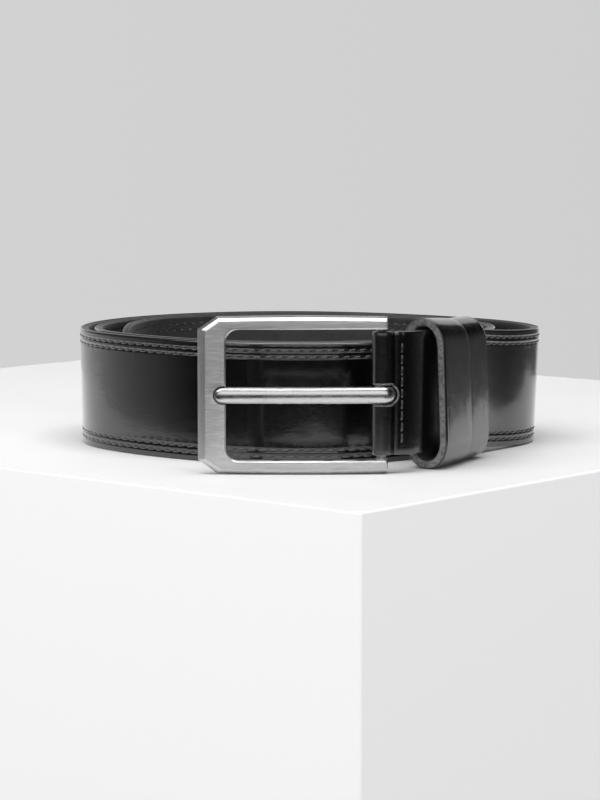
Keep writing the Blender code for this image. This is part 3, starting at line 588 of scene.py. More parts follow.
def slot_rim(r, end):
    """The pale cut edge of the outer layer round the slot, standing a little proud."""
    xs = [-2.6, -2.0, -1.2, -0.4, 0.4, 1.2, 1.9, 2.5, 2.9, 3.2]
    run = [(x, -r) for x in xs]
    run += [(end - r + r * math.cos(a), r * math.sin(a)) for a in np.linspace(-math.pi / 2, math.pi / 2, 25) if end - r + r * math.cos(a) > 3.3]
    run += [(x, r) for x in xs[::-1]]
    R = FOLD_R_IN + FACE_T_FOLD
    px = [c[0][0] for c in CREASE] + [4.7, 8.0]
    py = [c[0][1] for c in CREASE] + [-1.68, -0.75]
    pts = []
    for x, z in run:
        wide = 1.10 if x > 0 else 1.0
        y = -math.sqrt(max(R * R - (x / wide) ** 2, 0.9)) if x < 3.3 else float(np.interp(x, px, py))
        pts.append((BAR_X + x, BAR_Y + y, PRONG_Z + z))
    C = np.array(pts)
    T = np.gradient(C, axis=0)
    T /= np.linalg.norm(T, axis=1)[:, None]
    side = np.cross(T, np.array([0.0, -1.0, 0.0]))
    side /= np.linalg.norm(side, axis=1)[:, None]
    out = np.cross(side, T)
    sides = 8
    V = []
    for i in range(len(C)):
        share = 0.6 if i in (0, len(C) - 1) else 1.0
        for j in range(sides):
            g = 2 * math.pi * j / sides
            V.append(C[i] + (side[i] * 0.30 * math.cos(g) + out[i] * 0.20 * math.sin(g)) * share + side[i] * 0.10)
    o = make("slot_rim", V, grid_faces(len(C), sides, cap=True), [RIM], np.zeros((len(V), 2)))
    fix_normals(o)
    return o


fold = fold_strap()
fix_normals(fold)
knife = prism_xz("slot_knife", slot_outline(SLOT_HALF + 0.3, SLOT_END - 0.45), BAR_Y - 8, BAR_Y + 8, RAW)
cut(fold, knife)
fold.data.set_sharp_from_angle(angle=math.radians(48))
bpy.data.objects.remove(knife)

strap = main_strap()
fix_normals(strap)


def punch_tools(r):
    verts, faces = [], []
    for i in range(5):
        s = TOTAL - 85 - 25 * i
        p, n = along(s)
        t = np.array([-n[1], n[0]])
        zm = float(z_middle(s))
        base = len(verts)
        k = 32
        for d in (3.0, -FACE_T - BACK_T - GLUE - 3.0):
            for j in range(k):
                a = 2 * math.pi * j / k
                q = p + n * d + t * r * math.cos(a)
                verts.append((q[0], q[1], zm + r * math.sin(a)))
        faces += [(base + j, base + (j + 1) % k, base + k + (j + 1) % k, base + k + j) for j in range(k)]
        faces += [[base + j for j in range(k - 1, -1, -1)], [base + k + j for j in range(k)]]
    o = make("punch", verts, faces, [RAW], np.zeros((len(verts), 2)))
    fix_normals(o)
    return o


def lining_mesh():
    s = tip_spacing(LINING_START, TOTAL - 0.15, 1.25)
    hw = half_width(s) - 0.2
    d0, d1 = FACE_T + GLUE, FACE_T + GLUE + BACK_T
    squeeze = np.clip(hw / 20, 0.02, 1)
    e = [0.0, 0.12, 0.35, 0.7, 1.2, 1.9, 2.25, ROWS[0], 2.95, 3.6, 4.45, ROWS[1], 5.15, 7.0, 10.0, 14.0]
    rise = {0.0: 0.62, 0.12: 0.36, 0.35: 0.15, 0.7: 0.04}
    cols = [(-hw, np.full_like(s, d0), 1)]
    for sign in (-1, 1):
        for x in (e if sign < 0 else e[::-1]):
            press = 0.20 * math.exp(-((x - ROWS[0]) / 0.3) ** 2) + 0.20 * math.exp(-((x - ROWS[1]) / 0.3) ** 2)
            cols.append((sign * (hw - x * squeeze), np.full_like(s, d1 - rise.get(x, 0.0) - press), 1 if x < 0.2 else 0))
        if sign < 0:
            cols.append((0 * s, np.full_like(s, d1), 0))
    cols.append((hw, np.full_like(s, d0), 1))
    cols.append((0 * s, np.full_like(s, d0), 2))
    P = np.stack([surf(s, h, -d) for h, d, _ in cols], 1)
    uv = np.stack([np.stack([s / 10, h / 10 + 0 * s], -1) for h, _, _ in cols], 1)
    rows, k = P.shape[:2]
    kinds = [c[2] for c in cols]
    mats = list(profile_materials(kinds, rows - 1)) + [2, 1]
    o = make("strap_lining_leather", P.reshape(-1, 3), grid_faces(rows, k, cap=True), [LINING, EDGE, BACKING, RAW], uv.reshape(-1, 2), mats)
    fix_normals(o)
    return o


lining = lining_mesh()
punch = punch_tools(HOLE_R)
cut(strap, punch)
cut(lining, punch)
bpy.data.objects.remove(punch)
strap.data.set_sharp_from_angle(angle=math.radians(55))
lining.data.set_sharp_from_angle(angle=math.radians(50))


# ------------------------------------------------------------------ stitches
def seam_line(edge, start):
    """(s, h) along the top edge, round the tip and back along the bottom edge, every half millimetre."""
    s = np.concatenate([np.arange(start, TOTAL - TIP_LENGTH - edge, 0.5), np.linspace(TOTAL - TIP_LENGTH - edge, TOTAL - edge - 0.02, 160)])
    h = half_width(s, edge)
    s, h = np.concatenate([s, s[::-1]]), np.concatenate([h, -h[::-1]])
    d = np.hypot(np.diff(s), np.diff(h))
    keep = np.concatenate([[True], d > 1e-6])
    s, h = s[keep], h[keep]
    w = np.concatenate([[0], np.cumsum(np.hypot(np.diff(s), np.diff(h)))])
    return w, s, h


def stitches(name, edge, start, side, phase, rings=7, sides=8):
    """One short piece of thread per stitch, its ends pulled down into the needle holes."""
    w, ls, lh = seam_line(edge, start)
    count = int((w[-1] - PITCH) // PITCH)
    c = (np.arange(count) + 0.5 + phase) * PITCH
    t = np.linspace(-1, 1, rings)
    length = STITCH * (1 + rng.uniform(-0.03, 0.03, count))
    at = c[:, None] + t[None] * length[:, None] / 2
    slant = 0.16 + rng.uniform(-0.05, 0.05, count)
    S = np.interp(at, w, ls)
    Hh = np.interp(at, w, lh)
    # the stitch lies a little across its row
    S1, S0 = np.interp(at + 0.2, w, ls), np.interp(at - 0.2, w, ls)
    H1, H0 = np.interp(at + 0.2, w, lh), np.interp(at - 0.2, w, lh)
    ds, dh = S1 - S0, H1 - H0
    L = np.hypot(ds, dh)
    ds, dh = ds / L, dh / L
    off = t[None] * slant[:, None] * side
    S, Hh = S - dh * off, Hh + ds * off
    arch = np.sqrt(np.clip(1 - (np.abs(t) ** 2.6), 0, 1))
    proud = rng.uniform(-0.03, 0.03, count)[:, None]
    base = 0.0 if side > 0 else FACE_T + GLUE + BACK_T
    lift = side * (-0.66 + (0.48 if side > 0 else 0.38) * arch[None] + proud) - base
    radius = (0.25 + 0.11 * arch)[None] * np.ones((count, 1))
    C = surf(S, Hh, lift)
    T = np.gradient(C, axis=1)
    T /= np.linalg.norm(T, axis=2)[..., None]
    _, n2 = along(S)
    N = np.concatenate([n2, np.zeros(n2.shape[:2] + (1,))], -1)
    B = np.cross(T, N)
    B /= np.linalg.norm(B, axis=2)[..., None]
    N = np.cross(B, T)
    ang = np.arange(sides) * 2 * np.pi / sides
    V = C[:, :, None] + radius[:, :, None, None] * (np.cos(ang)[None, None, :, None] * B[:, :, None] * 1.12 + np.sin(ang)[None, None, :, None] * N[:, :, None] * 0.88)
    verts = V.reshape(-1, 3)
    one = np.array(grid_faces(rings, sides))
    faces = (one[None] + (np.arange(count) * rings * sides)[:, None, None]).reshape(-1, 4).tolist()
    for k in range(count):
        b = k * rings * sides
        faces.append([b + j for j in range(sides - 1, -1, -1)])
        faces.append([b + (rings - 1) * sides + j for j in range(sides)])
    uv = np.zeros((count, rings, sides, 2))
    uv[..., 0] = (at - at[:, :1])[:, :, None] / 0.9
    uv[..., 1] = np.arange(sides)[None, None] / sides * 1.4
    o = make(name, verts, faces, [THREAD], uv.reshape(-1, 2))
    fix_normals(o)
    return o


seams = {
    "seam_thread_outer_face": stitches("edge_stitches_outer_face", ROWS[0], SEAM_START, 1, 0.0),
    "seam_thread_inner_face": stitches("edge_stitches_inner_face", ROWS[1], SEAM_START, 1, 0.5),
    "seam_thread_outer_back": stitches("edge_stitches_outer_back", ROWS[0], LINING_START + 3, -1, 0.2, 5, 6),
    "seam_thread_inner_back": stitches("edge_stitches_inner_back", ROWS[1], LINING_START + 3, -1, 0.6, 5, 6),
}


def cross_stitches(name, s0, side, pitch=3.6, margin=1.7):
    hw = float(half_width(s0)) - margin
    count = int(2 * hw // pitch)
    zc = (np.arange(count) - (count - 1) / 2) * pitch
    rings, sides = 9, 10
    t = np.linspace(-1, 1, rings)
    arch = np.sqrt(np.clip(1 - np.abs(t) ** 2.6, 0, 1))
    depth = float(np.interp(s0, [0, 12], [FACE_T_FOLD, FACE_T])) + GLUE + 0.1 * float(np.interp(s0, [0, 10], [1, 0])) + BACK_T
    base = 0.0 if side > 0 else depth
    H = zc[:, None] + t[None] * 1.5
    S = s0 + t[None] * 0.13 * side + rng.uniform(-0.05, 0.05, count)[:, None]
    lift = side * (-0.50 + 0.46 * arch)[None] * np.ones((count, 1)) - base
    C = surf(S, H, lift)
    T = np.gradient(C, axis=1)
    T /= np.linalg.norm(T, axis=2)[..., None]
    _, n2 = along(S)
    N = np.concatenate([n2, np.zeros(n2.shape[:2] + (1,))], -1)
    B = np.cross(T, N)
    B /= np.linalg.norm(B, axis=2)[..., None]
    N = np.cross(B, T)
    ang = np.arange(sides) * 2 * np.pi / sides
    r = (0.26 + 0.13 * arch)[None, :, None, None]
    V = C[:, :, None] + r * (np.cos(ang)[None, None, :, None] * B[:, :, None] + np.sin(ang)[None, None, :, None] * N[:, :, None] * 0.9)
    one = np.array(grid_faces(rings, sides))
    faces = (one[None] + (np.arange(count) * rings * sides)[:, None, None]).reshape(-1, 4).tolist()
    for k in range(count):
        b = k * rings * sides
        faces.append([b + j for j in range(sides - 1, -1, -1)])
        faces.append([b + (rings - 1) * sides + j for j in range(sides)])
    uv = np.zeros((count, rings, sides, 2))
    uv[..., 0] = t[None, :, None] * 1.6
    uv[..., 1] = np.arange(sides)[None, None] / sides * 1.4
    o = make(name, V.reshape(-1, 3), faces, [THREAD], uv.reshape(-1, 2))
    fix_normals(o)
    return o


seams["fold_seam_thread_face"] = cross_stitches("fold_stitches_face", 1.9, 1)
seams["fold_seam_thread_back"] = cross_stitches("fold_stitches_back", 1.9, -1)
seams["keeper_seam_thread_face"] = cross_stitches("keeper_stitches_face", 35.3, 1)
seams["keeper_seam_thread_back"] = cross_stitches("keeper_stitches_back", 35.3, -1)


# ------------------------------------------------------------------ keepers
def ring_outline(half_n, half_z, corner, count):
    """Flattened ring: straight long sides and long round shoulders, evenly spaced, in (n, z)."""
    dense = []
    for sx, sz, a0 in ((1, -1, -90), (1, 1, 0), (-1, 1, 90), (-1, -1, 180)):
        for a in np.radians(np.linspace(a0, a0 + 90, 80)):
            ca, sa = math.cos(a), math.sin(a)
            dense.append((half_n * math.copysign(abs(ca) ** 0.92, ca), sz * (half_z - corner) + corner * math.copysign(abs(sa) ** 0.92, sa)))
    dense = np.array(dense + dense[:1])
    w = np.concatenate([[0], np.cumsum(np.hypot(*np.diff(dense, axis=0).T))])
    u = np.linspace(0, w[-1], count, endpoint=False)
    return np.stack([np.interp(u, w, dense[:, 0]), np.interp(u, w, dense[:, 1])], -1), u


def keeper(name, s_mid, width, z_low, z_high, corner, seed, crease=None, turn=0.0, fall=0.0, back=0.0):
    p, n = along(s_mid)
    ca, sa = math.cos(math.radians(turn)), math.sin(math.radians(turn))
    n = np.array([n[0] * ca - n[1] * sa, n[0] * sa + n[1] * ca])
    t = np.array([-n[1], n[0]])
    mid, half = (z_low + z_high) / 2, (z_high - z_low) / 2
    count = 220
    outer, u = ring_outline(KEEPER_IN_N / 2 + KEEPER_T, half, corner + KEEPER_T, count)
    d = np.roll(outer, -1, 0) - np.roll(outer, 1, 0)
    d /= np.hypot(d[:, 0], d[:, 1])[:, None]
    inward = np.stack([-d[:, 1], d[:, 0]], -1)
    w = width / 2
    T = KEEPER_T
    # section across the band: (position across, depth below the outer surface, kind)
    sec = [(-w, T - 0.25, 3), (-w - 0.00, 1.55, 3), (-w, 0.95, 3), (-w, 0.52, 1), (-w + 0.10, 0.24, 1), (-w + 0.34, 0.07, 0), (-w + 0.7, 0.0, 0),
           (-w + 1.15, 0.0, 0), (-w + 1.38, 0.012, 0), (-w + 1.6, 0.0, 0), (-w + 2.6, -0.02, 0), (-w * 0.45, -0.04, 0), (0, -0.05, 0), (w * 0.45, -0.04, 0),
           (w - 2.6, -0.02, 0), (w - 1.6, 0.0, 0), (w - 1.38, 0.012, 0), (w - 1.15, 0.0, 0), (w - 0.7, 0.0, 0), (w - 0.34, 0.07, 0), (w - 0.10, 0.24, 1),
           (w, 0.52, 1), (w, 0.95, 3), (w, 1.55, 3), (w, T - 0.25, 3), (w - 0.3, T, 2), (0, T, 2), (-w + 0.3, T, 2)]
    wob = 0.06 * np.sin(u * 0.21 + seed) + 0.05 * np.sin(u * 0.53 + 2.1 * seed)
    P = np.zeros((count, len(sec), 3))
    UV = np.zeros((count, len(sec), 2))
    for j, (a, depth, kind) in enumerate(sec):
        q = outer + inward * depth
        across = a + (wob * 0.6 if kind in (1, 3) else 0.0)
        if crease is not None and kind == 0:
            z = q[:, 1] + mid
            line = (a - crease[0] - (z - crease[1]) * crease[2]) / 0.55
            near = np.exp(-line**2) * np.exp(-((z - crease[1]) / crease[3]) ** 2) * (q[:, 0] > 0)
            q = q + inward * (near * 0.14)[:, None]
        off = KEEPER_CENTRE_N - back + q[:, 0] - 0.034 * q[:, 1]          # the top sits a little nearer the strap
        P[:, j, 0] = p[0] + n[0] * off + t[0] * across
        P[:, j, 1] = p[1] + n[1] * off + t[1] * across
        P[:, j, 2] = mid + q[:, 1] - fall * (a + w) / width * np.maximum(q[:, 1], 0) / half
        UV[:, j, 0] = u / 10 + 3.3 * seed
        UV[:, j, 1] = a / 10 * 0.9
    faces = grid_faces(count, len(sec), wrap_rows=True)
    kinds = [k for _, _, k in sec]
    mats = []
    for i in range(len(sec)):
        a, b = kinds[i], kinds[(i + 1) % len(sec)]
        mats.append(2 if 2 in (a, b) and 3 not in (a, b) else 3 if 3 in (a, b) else 1 if (a == 1 and b == 1) else 0)
    o = make(name, P.reshape(-1, 3), faces, [FACE, EDGE, BACKING, RAW], UV.reshape(-1, 2), np.tile(mats, count))
    fix_normals(o)
    o.data.set_sharp_from_angle(angle=math.radians(50))
    return o, p, n, t, mid


def staple(name, p, n, t, z):
    """A flat wire staple with rounded shoulders on the back wall of the loop."""
    depth = KEEPER_CENTRE_N - KEEPER_IN_N / 2 - KEEPER_T - 0.05
    a = np.concatenate([[-4.2, -4.2, -4.1, -3.8], np.linspace(-3.3, 3.3, 9), [3.8, 4.1, 4.2, 4.2]])
    b = np.concatenate([[0.35, 0.0, -0.22, -0.33], np.full(9, -0.35), [-0.33, -0.22, 0.0, 0.35]])
    d = np.stack([np.gradient(a), np.gradient(b)], -1)
    d /= np.hypot(d[:, 0], d[:, 1])[:, None]
    nn = np.stack([-d[:, 1], d[:, 0]], -1)
    sides = 12
    ang = np.arange(sides) * 2 * np.pi / sides
    V = []
    for i in range(len(a)):
        for g in ang:
            x, y = a[i] + nn[i, 0] * 0.2 * math.sin(g), b[i] + nn[i, 1] * 0.2 * math.sin(g)
            q = p + t * x + n * (depth + y)
            V.append((q[0], q[1], z + 0.45 * math.cos(g)))
    o = make(name, V, grid_faces(len(a), sides, cap=True), [STEEL])
    fix_normals(o)
    return o


k1, p, n, t, mid = keeper("keeper_fixed_leather", KEEPER_1_S, KEEPER_1_W, 0.0, 48.9, 7.6, 1.0, None, KEEPER_1_TURN, 1.4)
st1 = staple("keeper_fixed_wire", p, n, t, mid)
k2, p, n, t, mid = keeper("keeper_sliding_leather", KEEPER_2_S, KEEPER_2_W, 0.0, 47.1, 6.6, 2.0, (3.5, 38.0, 0.30, 9.0), back=0.3)
st2 = staple("keeper_sliding_wire", p - n * 0.3, n, t, mid)


# ------------------------------------------------------------------ buckle
def bow(x):
    u = (x + FRAME_LEFT) / (FRAME_LEFT + FRAME_RIGHT)
    return ARCH * 4 * u * (1 - u)


def bulge(x):
    u = (x + FRAME_LEFT - CORNER_X) / (FRAME_LEFT - CORNER_X + FRAME_RIGHT)
    return BULGE * 4 * u * (1 - u)


def frame_sections():
    long = math.hypot(CORNER_X, CORNER_Z)
    arm, slope = ARM_BEVEL / BEVEL, CUT_BEVEL / BEVEL

    def mitre(d):
        return (-FRAME_LEFT + CORNER_X + (slope * d * long - arm * d * CORNER_X) / CORNER_Z,
                FRAME_H - CORNER_Z - (slope * d * long - d * CORNER_Z) / CORNER_X)
    sections = []

    def add(inner, at, shoulder=0.8):
        o0, o1, o2 = at(0.0), at(0.9), at(BEVEL)
        i0 = np.array(inner)
        toward = np.array(o2) - i0
        toward = toward / np.linalg.norm(toward)
        i1 = i0 + toward * 0.5
        sections.append([(*o0, FRAME_T - 0.5), (*o0, 2.0), (*o1, shoulder), (*o2, 0.0), (*i1, 0.0), (*i0, 0.27), (*i0, FRAME_T), (*at(0.5), FRAME_T)])
    m = 26
    arm_x = np.linspace(FRAME_RIGHT, -FRAME_LEFT + CORNER_X, m)
    in_x = np.linspace(FRAME_RIGHT, -FRAME_IN_LEFT + IN_R, m)
    arm_x[1], in_x[1] = FRAME_RIGHT - 0.6, FRAME_RIGHT - 0.6
    for k in range(m):
        def at(d, k=k):
            x_end = mitre(d)[0]
            return (FRAME_RIGHT - 0.6 if k == 1 else FRAME_RIGHT + (x_end - FRAME_RIGHT) * k / (m - 1), FRAME_H - BULGE - arm * d + bulge(arm_x[k]))
        add((in_x[k], FRAME_IN_Z1), at)
    c = 12
    for k in range(1, c):
        a = math.radians(90 + 90 * k / c)
        inner = (-FRAME_IN_LEFT + IN_R + IN_R * math.cos(a), FRAME_IN_Z1 - IN_R + IN_R * math.sin(a))

        def at(d, k=k):
            ax, bz = mitre(d)
            a0, a1 = np.array([ax, FRAME_H - BULGE - arm * d]), np.array([-FRAME_LEFT + d, bz])
            q = a0 + (a1 - a0) * k / c
            return (q[0], q[1])
        add(inner, at)
    # the arm's end is rounded over: its last section is drawn in
    end = np.array(sections[0])
    mid = np.array([0.0, (FRAME_H + FRAME_IN_Z1) / 2, FRAME_T / 2])
    for share, back in ((0.92, 0.18), (0.78, 0.0)):
        shrunk = mid + (end - mid) * np.array([1.0, share, share])
        shrunk[:, 0] = FRAME_RIGHT - back
        sections.insert(0 if back == 0.0 else 0, [tuple(q) for q in shrunk])
    sections.pop(2)
    half = list(sections)
    top, bottom = FRAME_IN_Z1 - IN_R, FRAME_IN_Z0 + IN_R
    for k in range(17):
        z_in = top + (bottom - top) * k / 16

        def at(d, k=k):
            hi = mitre(d)[1]
            return (-FRAME_LEFT + d, hi + (FRAME_H - hi - hi) * k / 16)
        add((-FRAME_IN_LEFT, z_in), at, 1.27)
    for section in half[::-1]:
        sections.append([(x, FRAME_H - z, d) for x, z, d in section])
    return sections


def cylinder(name, x, y, r, z0, z1, mat, sides=48, round_end=0.0):
    prof = [(r - round_end, z0), (r, z0 + round_end), (r, z1 - round_end), (r - round_end, z1)] if round_end else [(r, z0), (r, z1)]
    V = [(x + q * math.cos(2 * math.pi * j / sides), y + q * math.sin(2 * math.pi * j / sides), z) for q, z in prof for j in range(sides)]
    o = make(name, V, grid_faces(len(prof), sides, cap=True), [mat], np.array([(v[2] / 10, v[0] / 10) for v in V]))
    fix_normals(o)
    return o


secs = frame_sections()
V = np.array([[(BAR_X + x, BAR_Y - FRAME_FRONT - bow(x) + d, z) for x, z, d in sec] for sec in secs])
rows, k = V.shape[:2]
# strips of each row: outer side, two slopes, flat front, inner lip, inner side, back, back edge
side_rows = [r for r in range(rows - 1) if max(secs[r][0][0], secs[r + 1][0][0]) < -FRAME_LEFT + 0.01]
# kind 2 puts the darker painted-shade gunmetal on the back strip
kinds = np.concatenate([[0, 0, 0, 0, 1, 0, 2, 0] if r in side_rows else [0, 1, 1, 0, 1, 0, 2, 0] for r in range(rows - 1)])
buckle = make("buckle_frame_metal", V.reshape(-1, 3), grid_faces(rows, k, cap=True), [METAL, BRIGHT, METAL_BACK_PAINTED_SHADE],
              np.stack([V[..., 2].ravel() / 10, V[..., 0].ravel() / 10], -1), list(kinds) + [0, 0])
fix_normals(buckle)
for nm, a, b in (("lug_low", 0.55, FRAME_IN_Z0 + 0.65), ("lug_high", FRAME_IN_Z1 - 0.65, FRAME_H - 0.9)):
    lug = cylinder(nm, BAR_X, BAR_Y, 1.95, a, b, METAL, 48, 0.12)
    md = buckle.modifiers.new(nm, "BOOLEAN")
    md.operation, md.object, md.solver = "UNION", lug, "EXACT"
    apply_modifiers(buckle)
    bpy.data.objects.remove(lug)
seat_x = BAR_X - PRONG_REACH + PRONG_W / 2
seat = [(seat_x + 2.95 * math.cos(math.radians(90 + 9 * i)), PRONG_Z + 2.95 * math.sin(math.radians(90 + 9 * i))) for i in range(21)]
seat += [(seat_x + 8, PRONG_Z - 2.95), (seat_x + 8, PRONG_Z + 2.95)]
knife = prism_xz("seat_knife", seat, BAR_Y - 12, BAR_Y - FRAME_FRONT + 1.35, METAL)
cut(buckle, knife)
bpy.data.objects.remove(knife)
bv = buckle.modifiers.new("soft_edges", "BEVEL")
bv.width, bv.segments, bv.limit_method, bv.angle_limit = 0.14 * MM, 2, "ANGLE", math.radians(20)
apply_modifiers(buckle)
buckle.data.polygons.foreach_set("use_smooth", np.full(len(buckle.data.polygons), True))
buckle.data.set_sharp_from_angle(angle=math.radians(26))

bar = cylinder("buckle_bar_metal", BAR_X, BAR_Y, BAR_R, 2.1, 48.5, STEEL, 48, 0.2)


def prong_mesh():
    rings = []

    def ring(x, y, thick, half, tangent=(1.0, 0.0), crown=0.85):
        front = np.array([tangent[1], -tangent[0]])
        pts = []
        m = 22
        for i in range(m + 1):
            a = math.pi * i / m
            q = np.array([x, y]) + front * (0.5 + (thick - 0.5) * math.sin(a) ** crown)
            pts.append((q[0], q[1], PRONG_Z - half * math.cos(a)))
        for z, dd in ((half - 0.05, 0.25), (half - 0.35, 0.0), (0.0, 0.0), (-(half - 0.35), 0.0), (-(half - 0.05), 0.25)):
            q = np.array([x, y]) + front * dd
            pts.append((q[0], q[1], PRONG_Z + z))
        rings.append(pts)

    def arch(x):
        u = (x - (BAR_X - PRONG_REACH)) / PRONG_REACH
        return 0.9 * 4 * u * (1 - u) if 0 <= u <= 1 else 0.0
    floor = BAR_Y - FRAME_FRONT + 1.35 - 0.12
    half = PRONG_W / 2
    for k in list(2.6 * (1 - np.cos(np.linspace(0.12, math.pi / 2, 14)))):
        u = 1 - k / half
        x = BAR_X - PRONG_REACH + k
        ring(x, floor - arch(x), PRONG_T * (0.50 + 0.50 * min(k / half, 1.0) ** 0.5), half * math.sqrt(max(1 - u * u, 0.004)))
    for x in np.linspace(BAR_X - PRONG_REACH + 3.4, BAR_X - 0.5, 50):
        ring(x, floor - arch(x), PRONG_T, half * (1 + 0.03 * (x - BAR_X + PRONG_REACH) / PRONG_REACH))
    # the curl round the bar
    for deg in np.linspace(-86, 160, 48):
        u = min((deg + 86) / 75, 1.0)
        u = u * u * (3 - 2 * u)
        r_in = (BAR_Y - floor) * (1 - u) + (BAR_R + 0.12) * u
        r_out = (BAR_Y - floor + PRONG_T) * (1 - u) + (PRONG_R_OUT + 0.4) * u
        if deg > 60:
            r_out -= (r_out - r_in - 1.3) * (deg - 60) / 100
        a = math.radians(deg)
        d = np.array([math.cos(a), math.sin(a)])
        ring(BAR_X + d[0] * r_in, BAR_Y + d[1] * r_in, r_out - r_in, half * 1.03, (-d[1], d[0]))
    P = np.array(rings)
    rows, k = P.shape[:2]
    o = make("buckle_prong_metal", P.reshape(-1, 3), grid_faces(rows, k, cap=True), [PRONG_METAL],
             np.stack([P[..., 2].ravel() / 10, P[..., 0].ravel() / 10], -1))
    fix_normals(o)
    o.data.set_sharp_from_angle(angle=math.radians(40))
    return o


prong = prong_mesh()

# ------------------------------------------------------------------ what rides on what
for o, body, nodes, slot in (
        (strap, "strap", ("strap_face",), "face_leather"), (lining, "strap", ("strap_lining",), "lining_leather"),
        (k1, "strap", ("keeper_fixed",), "face_leather"), (st1, "strap", ("keeper_fixed_staple",), "plain_steel"),
        (k2, "loose_keeper", ("keeper_sliding",), "face_leather"), (st2, "loose_keeper", ("keeper_sliding_staple",), "plain_steel"),
        (buckle, "buckle", ("buckle_frame",), "gunmetal"), (bar, "buckle", ("buckle_bar",), "plain_steel"),
        (prong, "prong", ("buckle_prong",), "gunmetal")):
    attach(o, body)
    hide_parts(*nodes)
rim = slot_rim(SLOT_HALF + 0.3, SLOT_END - 0.45)
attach(rim, "strap")
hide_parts("strap_face")
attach(fold, "strap")
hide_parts("strap_face")
for node, o in seams.items():
    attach(o, "strap")
    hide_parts(node)


# ------------------------------------------------------------------ stage, light and camera
def plinth():
    """A plain white block whose corner points at the camera; its side faces glow with painted light."""
    fx, fy = 14.3, -160.2
    a, b = np.array([-0.757, 0.653]), np.array([0.653, 0.757])
    F = np.array([fx, fy])
    pts = [F, F + b * 359, F + b * 359 + a * 398, F + a * 398]
    V = [(q[0], q[1], 0.0) for q in pts] + [(q[0], q[1], -900.0) for q in pts]
    m = Nodes("white_block", Base_Color=0.86, Roughness=0.6)
    c = m.coords("Object", (1000, 1000, 1000))
    m.set(Base_Color=m.grey(m.remap(m.noise(c, 0.02, 3.0), 0.3, 0.7, 0.90, 0.93)), Normal=m.bump(m.noise(c, 0.5, 4.0), 0.08, 0.0002))
    # painted light: the side faces glow to stand in for the light that falls on them from the front
    side = Nodes("white_block_side_painted_light", Base_Color=0.86, Roughness=0.6, Emission_Strength=0.53)
    side.b.inputs["Emission Color"].default_value = (1, 1, 1, 1)
    o = make("block", V, [(0, 1, 2, 3), (7, 6, 5, 4), (0, 4, 5, 1), (1, 5, 6, 2), (2, 6, 7, 3), (3, 7, 4, 0)], [m.m, side.m],
             mat_of=[0, 1, 1, 1, 1, 1], smooth_all=False)
    fix_normals(o)
    bv = o.modifiers.new("edge", "BEVEL")
    bv.width, bv.segments = 0.7 * MM, 3
    return o


def glow_sheet(name, corners, low, high, axis="X"):
    """A plain sheet that shines evenly, a little brighter at one side."""
    m = bpy.data.materials.new(name)
    m.use_nodes = True
    t = m.node_tree
    t.nodes.remove(t.nodes["Principled BSDF"])
    e = t.nodes.new("ShaderNodeEmission")
    g = t.nodes.new("ShaderNodeTexCoord")
    s = t.nodes.new("ShaderNodeSeparateXYZ")
    r = t.nodes.new("ShaderNodeMapRange")
    r.inputs["To Min"].default_value, r.inputs["To Max"].default_value = low, high
    t.links.new(g.outputs["Generated"], s.inputs[0])
    t.links.new(s.outputs[axis], r.inputs["Value"])
    t.links.new(r.outputs[0], e.inputs["Strength"])
    t.links.new(e.outputs[0], t.nodes["Material Output"].inputs["Surface"])
    return make(name, corners, [(0, 1, 2, 3)], [m], smooth_all=False)


block = plinth()
wall = glow_sheet("wall", [(-900, 1500, -900), (900, 1500, -900), (900, 1500, 1500), (-900, 1500, 1500)], 0.665, 0.605)

world = bpy.data.worlds.new("studio")
bpy.context.scene.world = world
world.use_nodes = True
wt = world.node_tree
bg = wt.nodes["Background"]
coord = wt.nodes.new("ShaderNodeTexCoord")
sepw = wt.nodes.new("ShaderNodeSeparateXYZ")
wt.links.new(coord.outputs["Generated"], sepw.inputs[0])


def wmath(op, a, b=0.0, clamp=False):
    n = wt.nodes.new("ShaderNodeMath")
    n.operation, n.use_clamp = op, clamp
    for i, v in enumerate((a, b)):
        if isinstance(v, bpy.types.NodeSocket):
            wt.links.new(v, n.inputs[i])
        else:
            n.inputs[i].default_value = v
    return n.outputs[0]


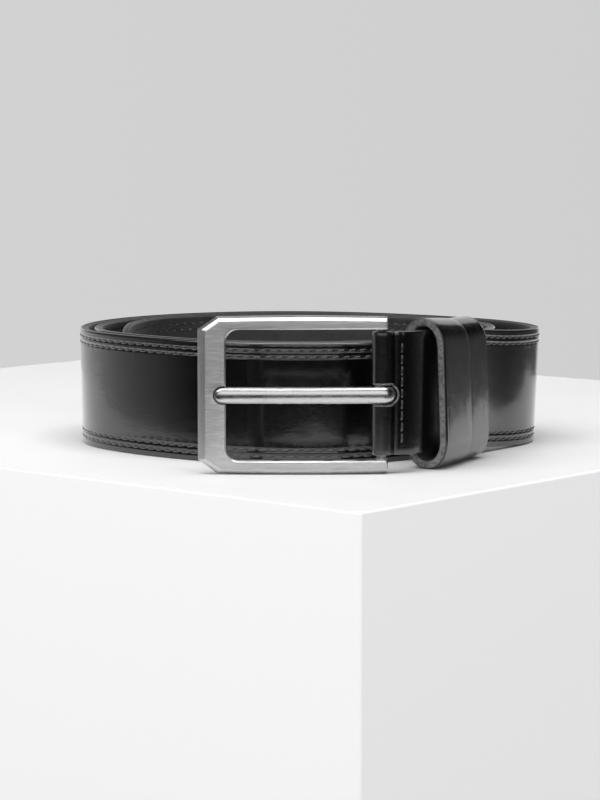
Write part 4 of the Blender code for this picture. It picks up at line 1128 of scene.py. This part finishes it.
def wmap(x, a0, a1, b0, b1):
    n = wt.nodes.new("ShaderNodeMapRange")
    n.interpolation_type = "SMOOTHSTEP"
    wt.links.new(x, n.inputs["Value"])
    for k, v in (("From Min", a0), ("From Max", a1), ("To Min", b0), ("To Max", b1)):
        n.inputs[k].default_value = v
    return n.outputs[0]


# a dark room in front, a pale one to the left and behind, darker to the right and overhead
left = wmap(sepw.outputs["Y"], -0.50, 0.5, 0.018, 0.70)
right = wmap(sepw.outputs["Y"], -0.55, 0.6, 0.018, 0.12)
turn = wmap(sepw.outputs["X"], -0.25, 0.45, 0.0, 1.0)
level = wmath("ADD", wmath("MULTIPLY", left, wmath("SUBTRACT", 1.0, turn)), wmath("MULTIPLY", right, turn))
down = wmap(sepw.outputs["Z"], -0.40, -0.08, 0.45, 1.0)
over = wmap(sepw.outputs["Z"], 0.02, 0.30, 1.0, 0.10)
mixw = wmath("MULTIPLY", wmath("MULTIPLY", level, down), over)
wt.links.new(mixw, bg.inputs["Strength"])
bg.inputs["Color"].default_value = (1, 1, 1, 1)


def area(name, place, aim, size, energy):
    d = bpy.data.lights.new(name, "AREA")
    d.shape, d.size, d.size_y, d.energy = "RECTANGLE", size[0], size[1], energy
    o = bpy.data.objects.new(name, d)
    bpy.context.scene.collection.objects.link(o)
    from mathutils import Vector
    o.location = place
    o.rotation_euler = (Vector(aim) - Vector(place)).to_track_quat("-Z", "Y").to_euler()
    return o


area("top", (0.0, -0.22, 1.3), (0, -0.04, 0), (1.3, 0.8), 16)
area("left_high", (-1.0, -0.41, 1.15), (-0.03, -0.08, 0.05), (0.8, 0.8), 5)
area("front", (0.0, -2.0, 1.15), (0, 0, 1.15), (4.4, 1.7), 29)

cam = bpy.data.cameras.new("camera")
cam.lens = 120.24
cam.sensor_width = 36.0
cam.clip_start, cam.clip_end = 0.01, 20
camera = bpy.data.objects.new("camera", cam)
bpy.context.scene.collection.objects.link(camera)
camera.location = (-3.37 * MM, -922.21 * MM, 115.5 * MM)
camera.rotation_euler = (math.radians(90 - 6.21), 0, 0)
bpy.context.scene.camera = camera
bpy.context.scene.view_settings.view_transform = "Standard"
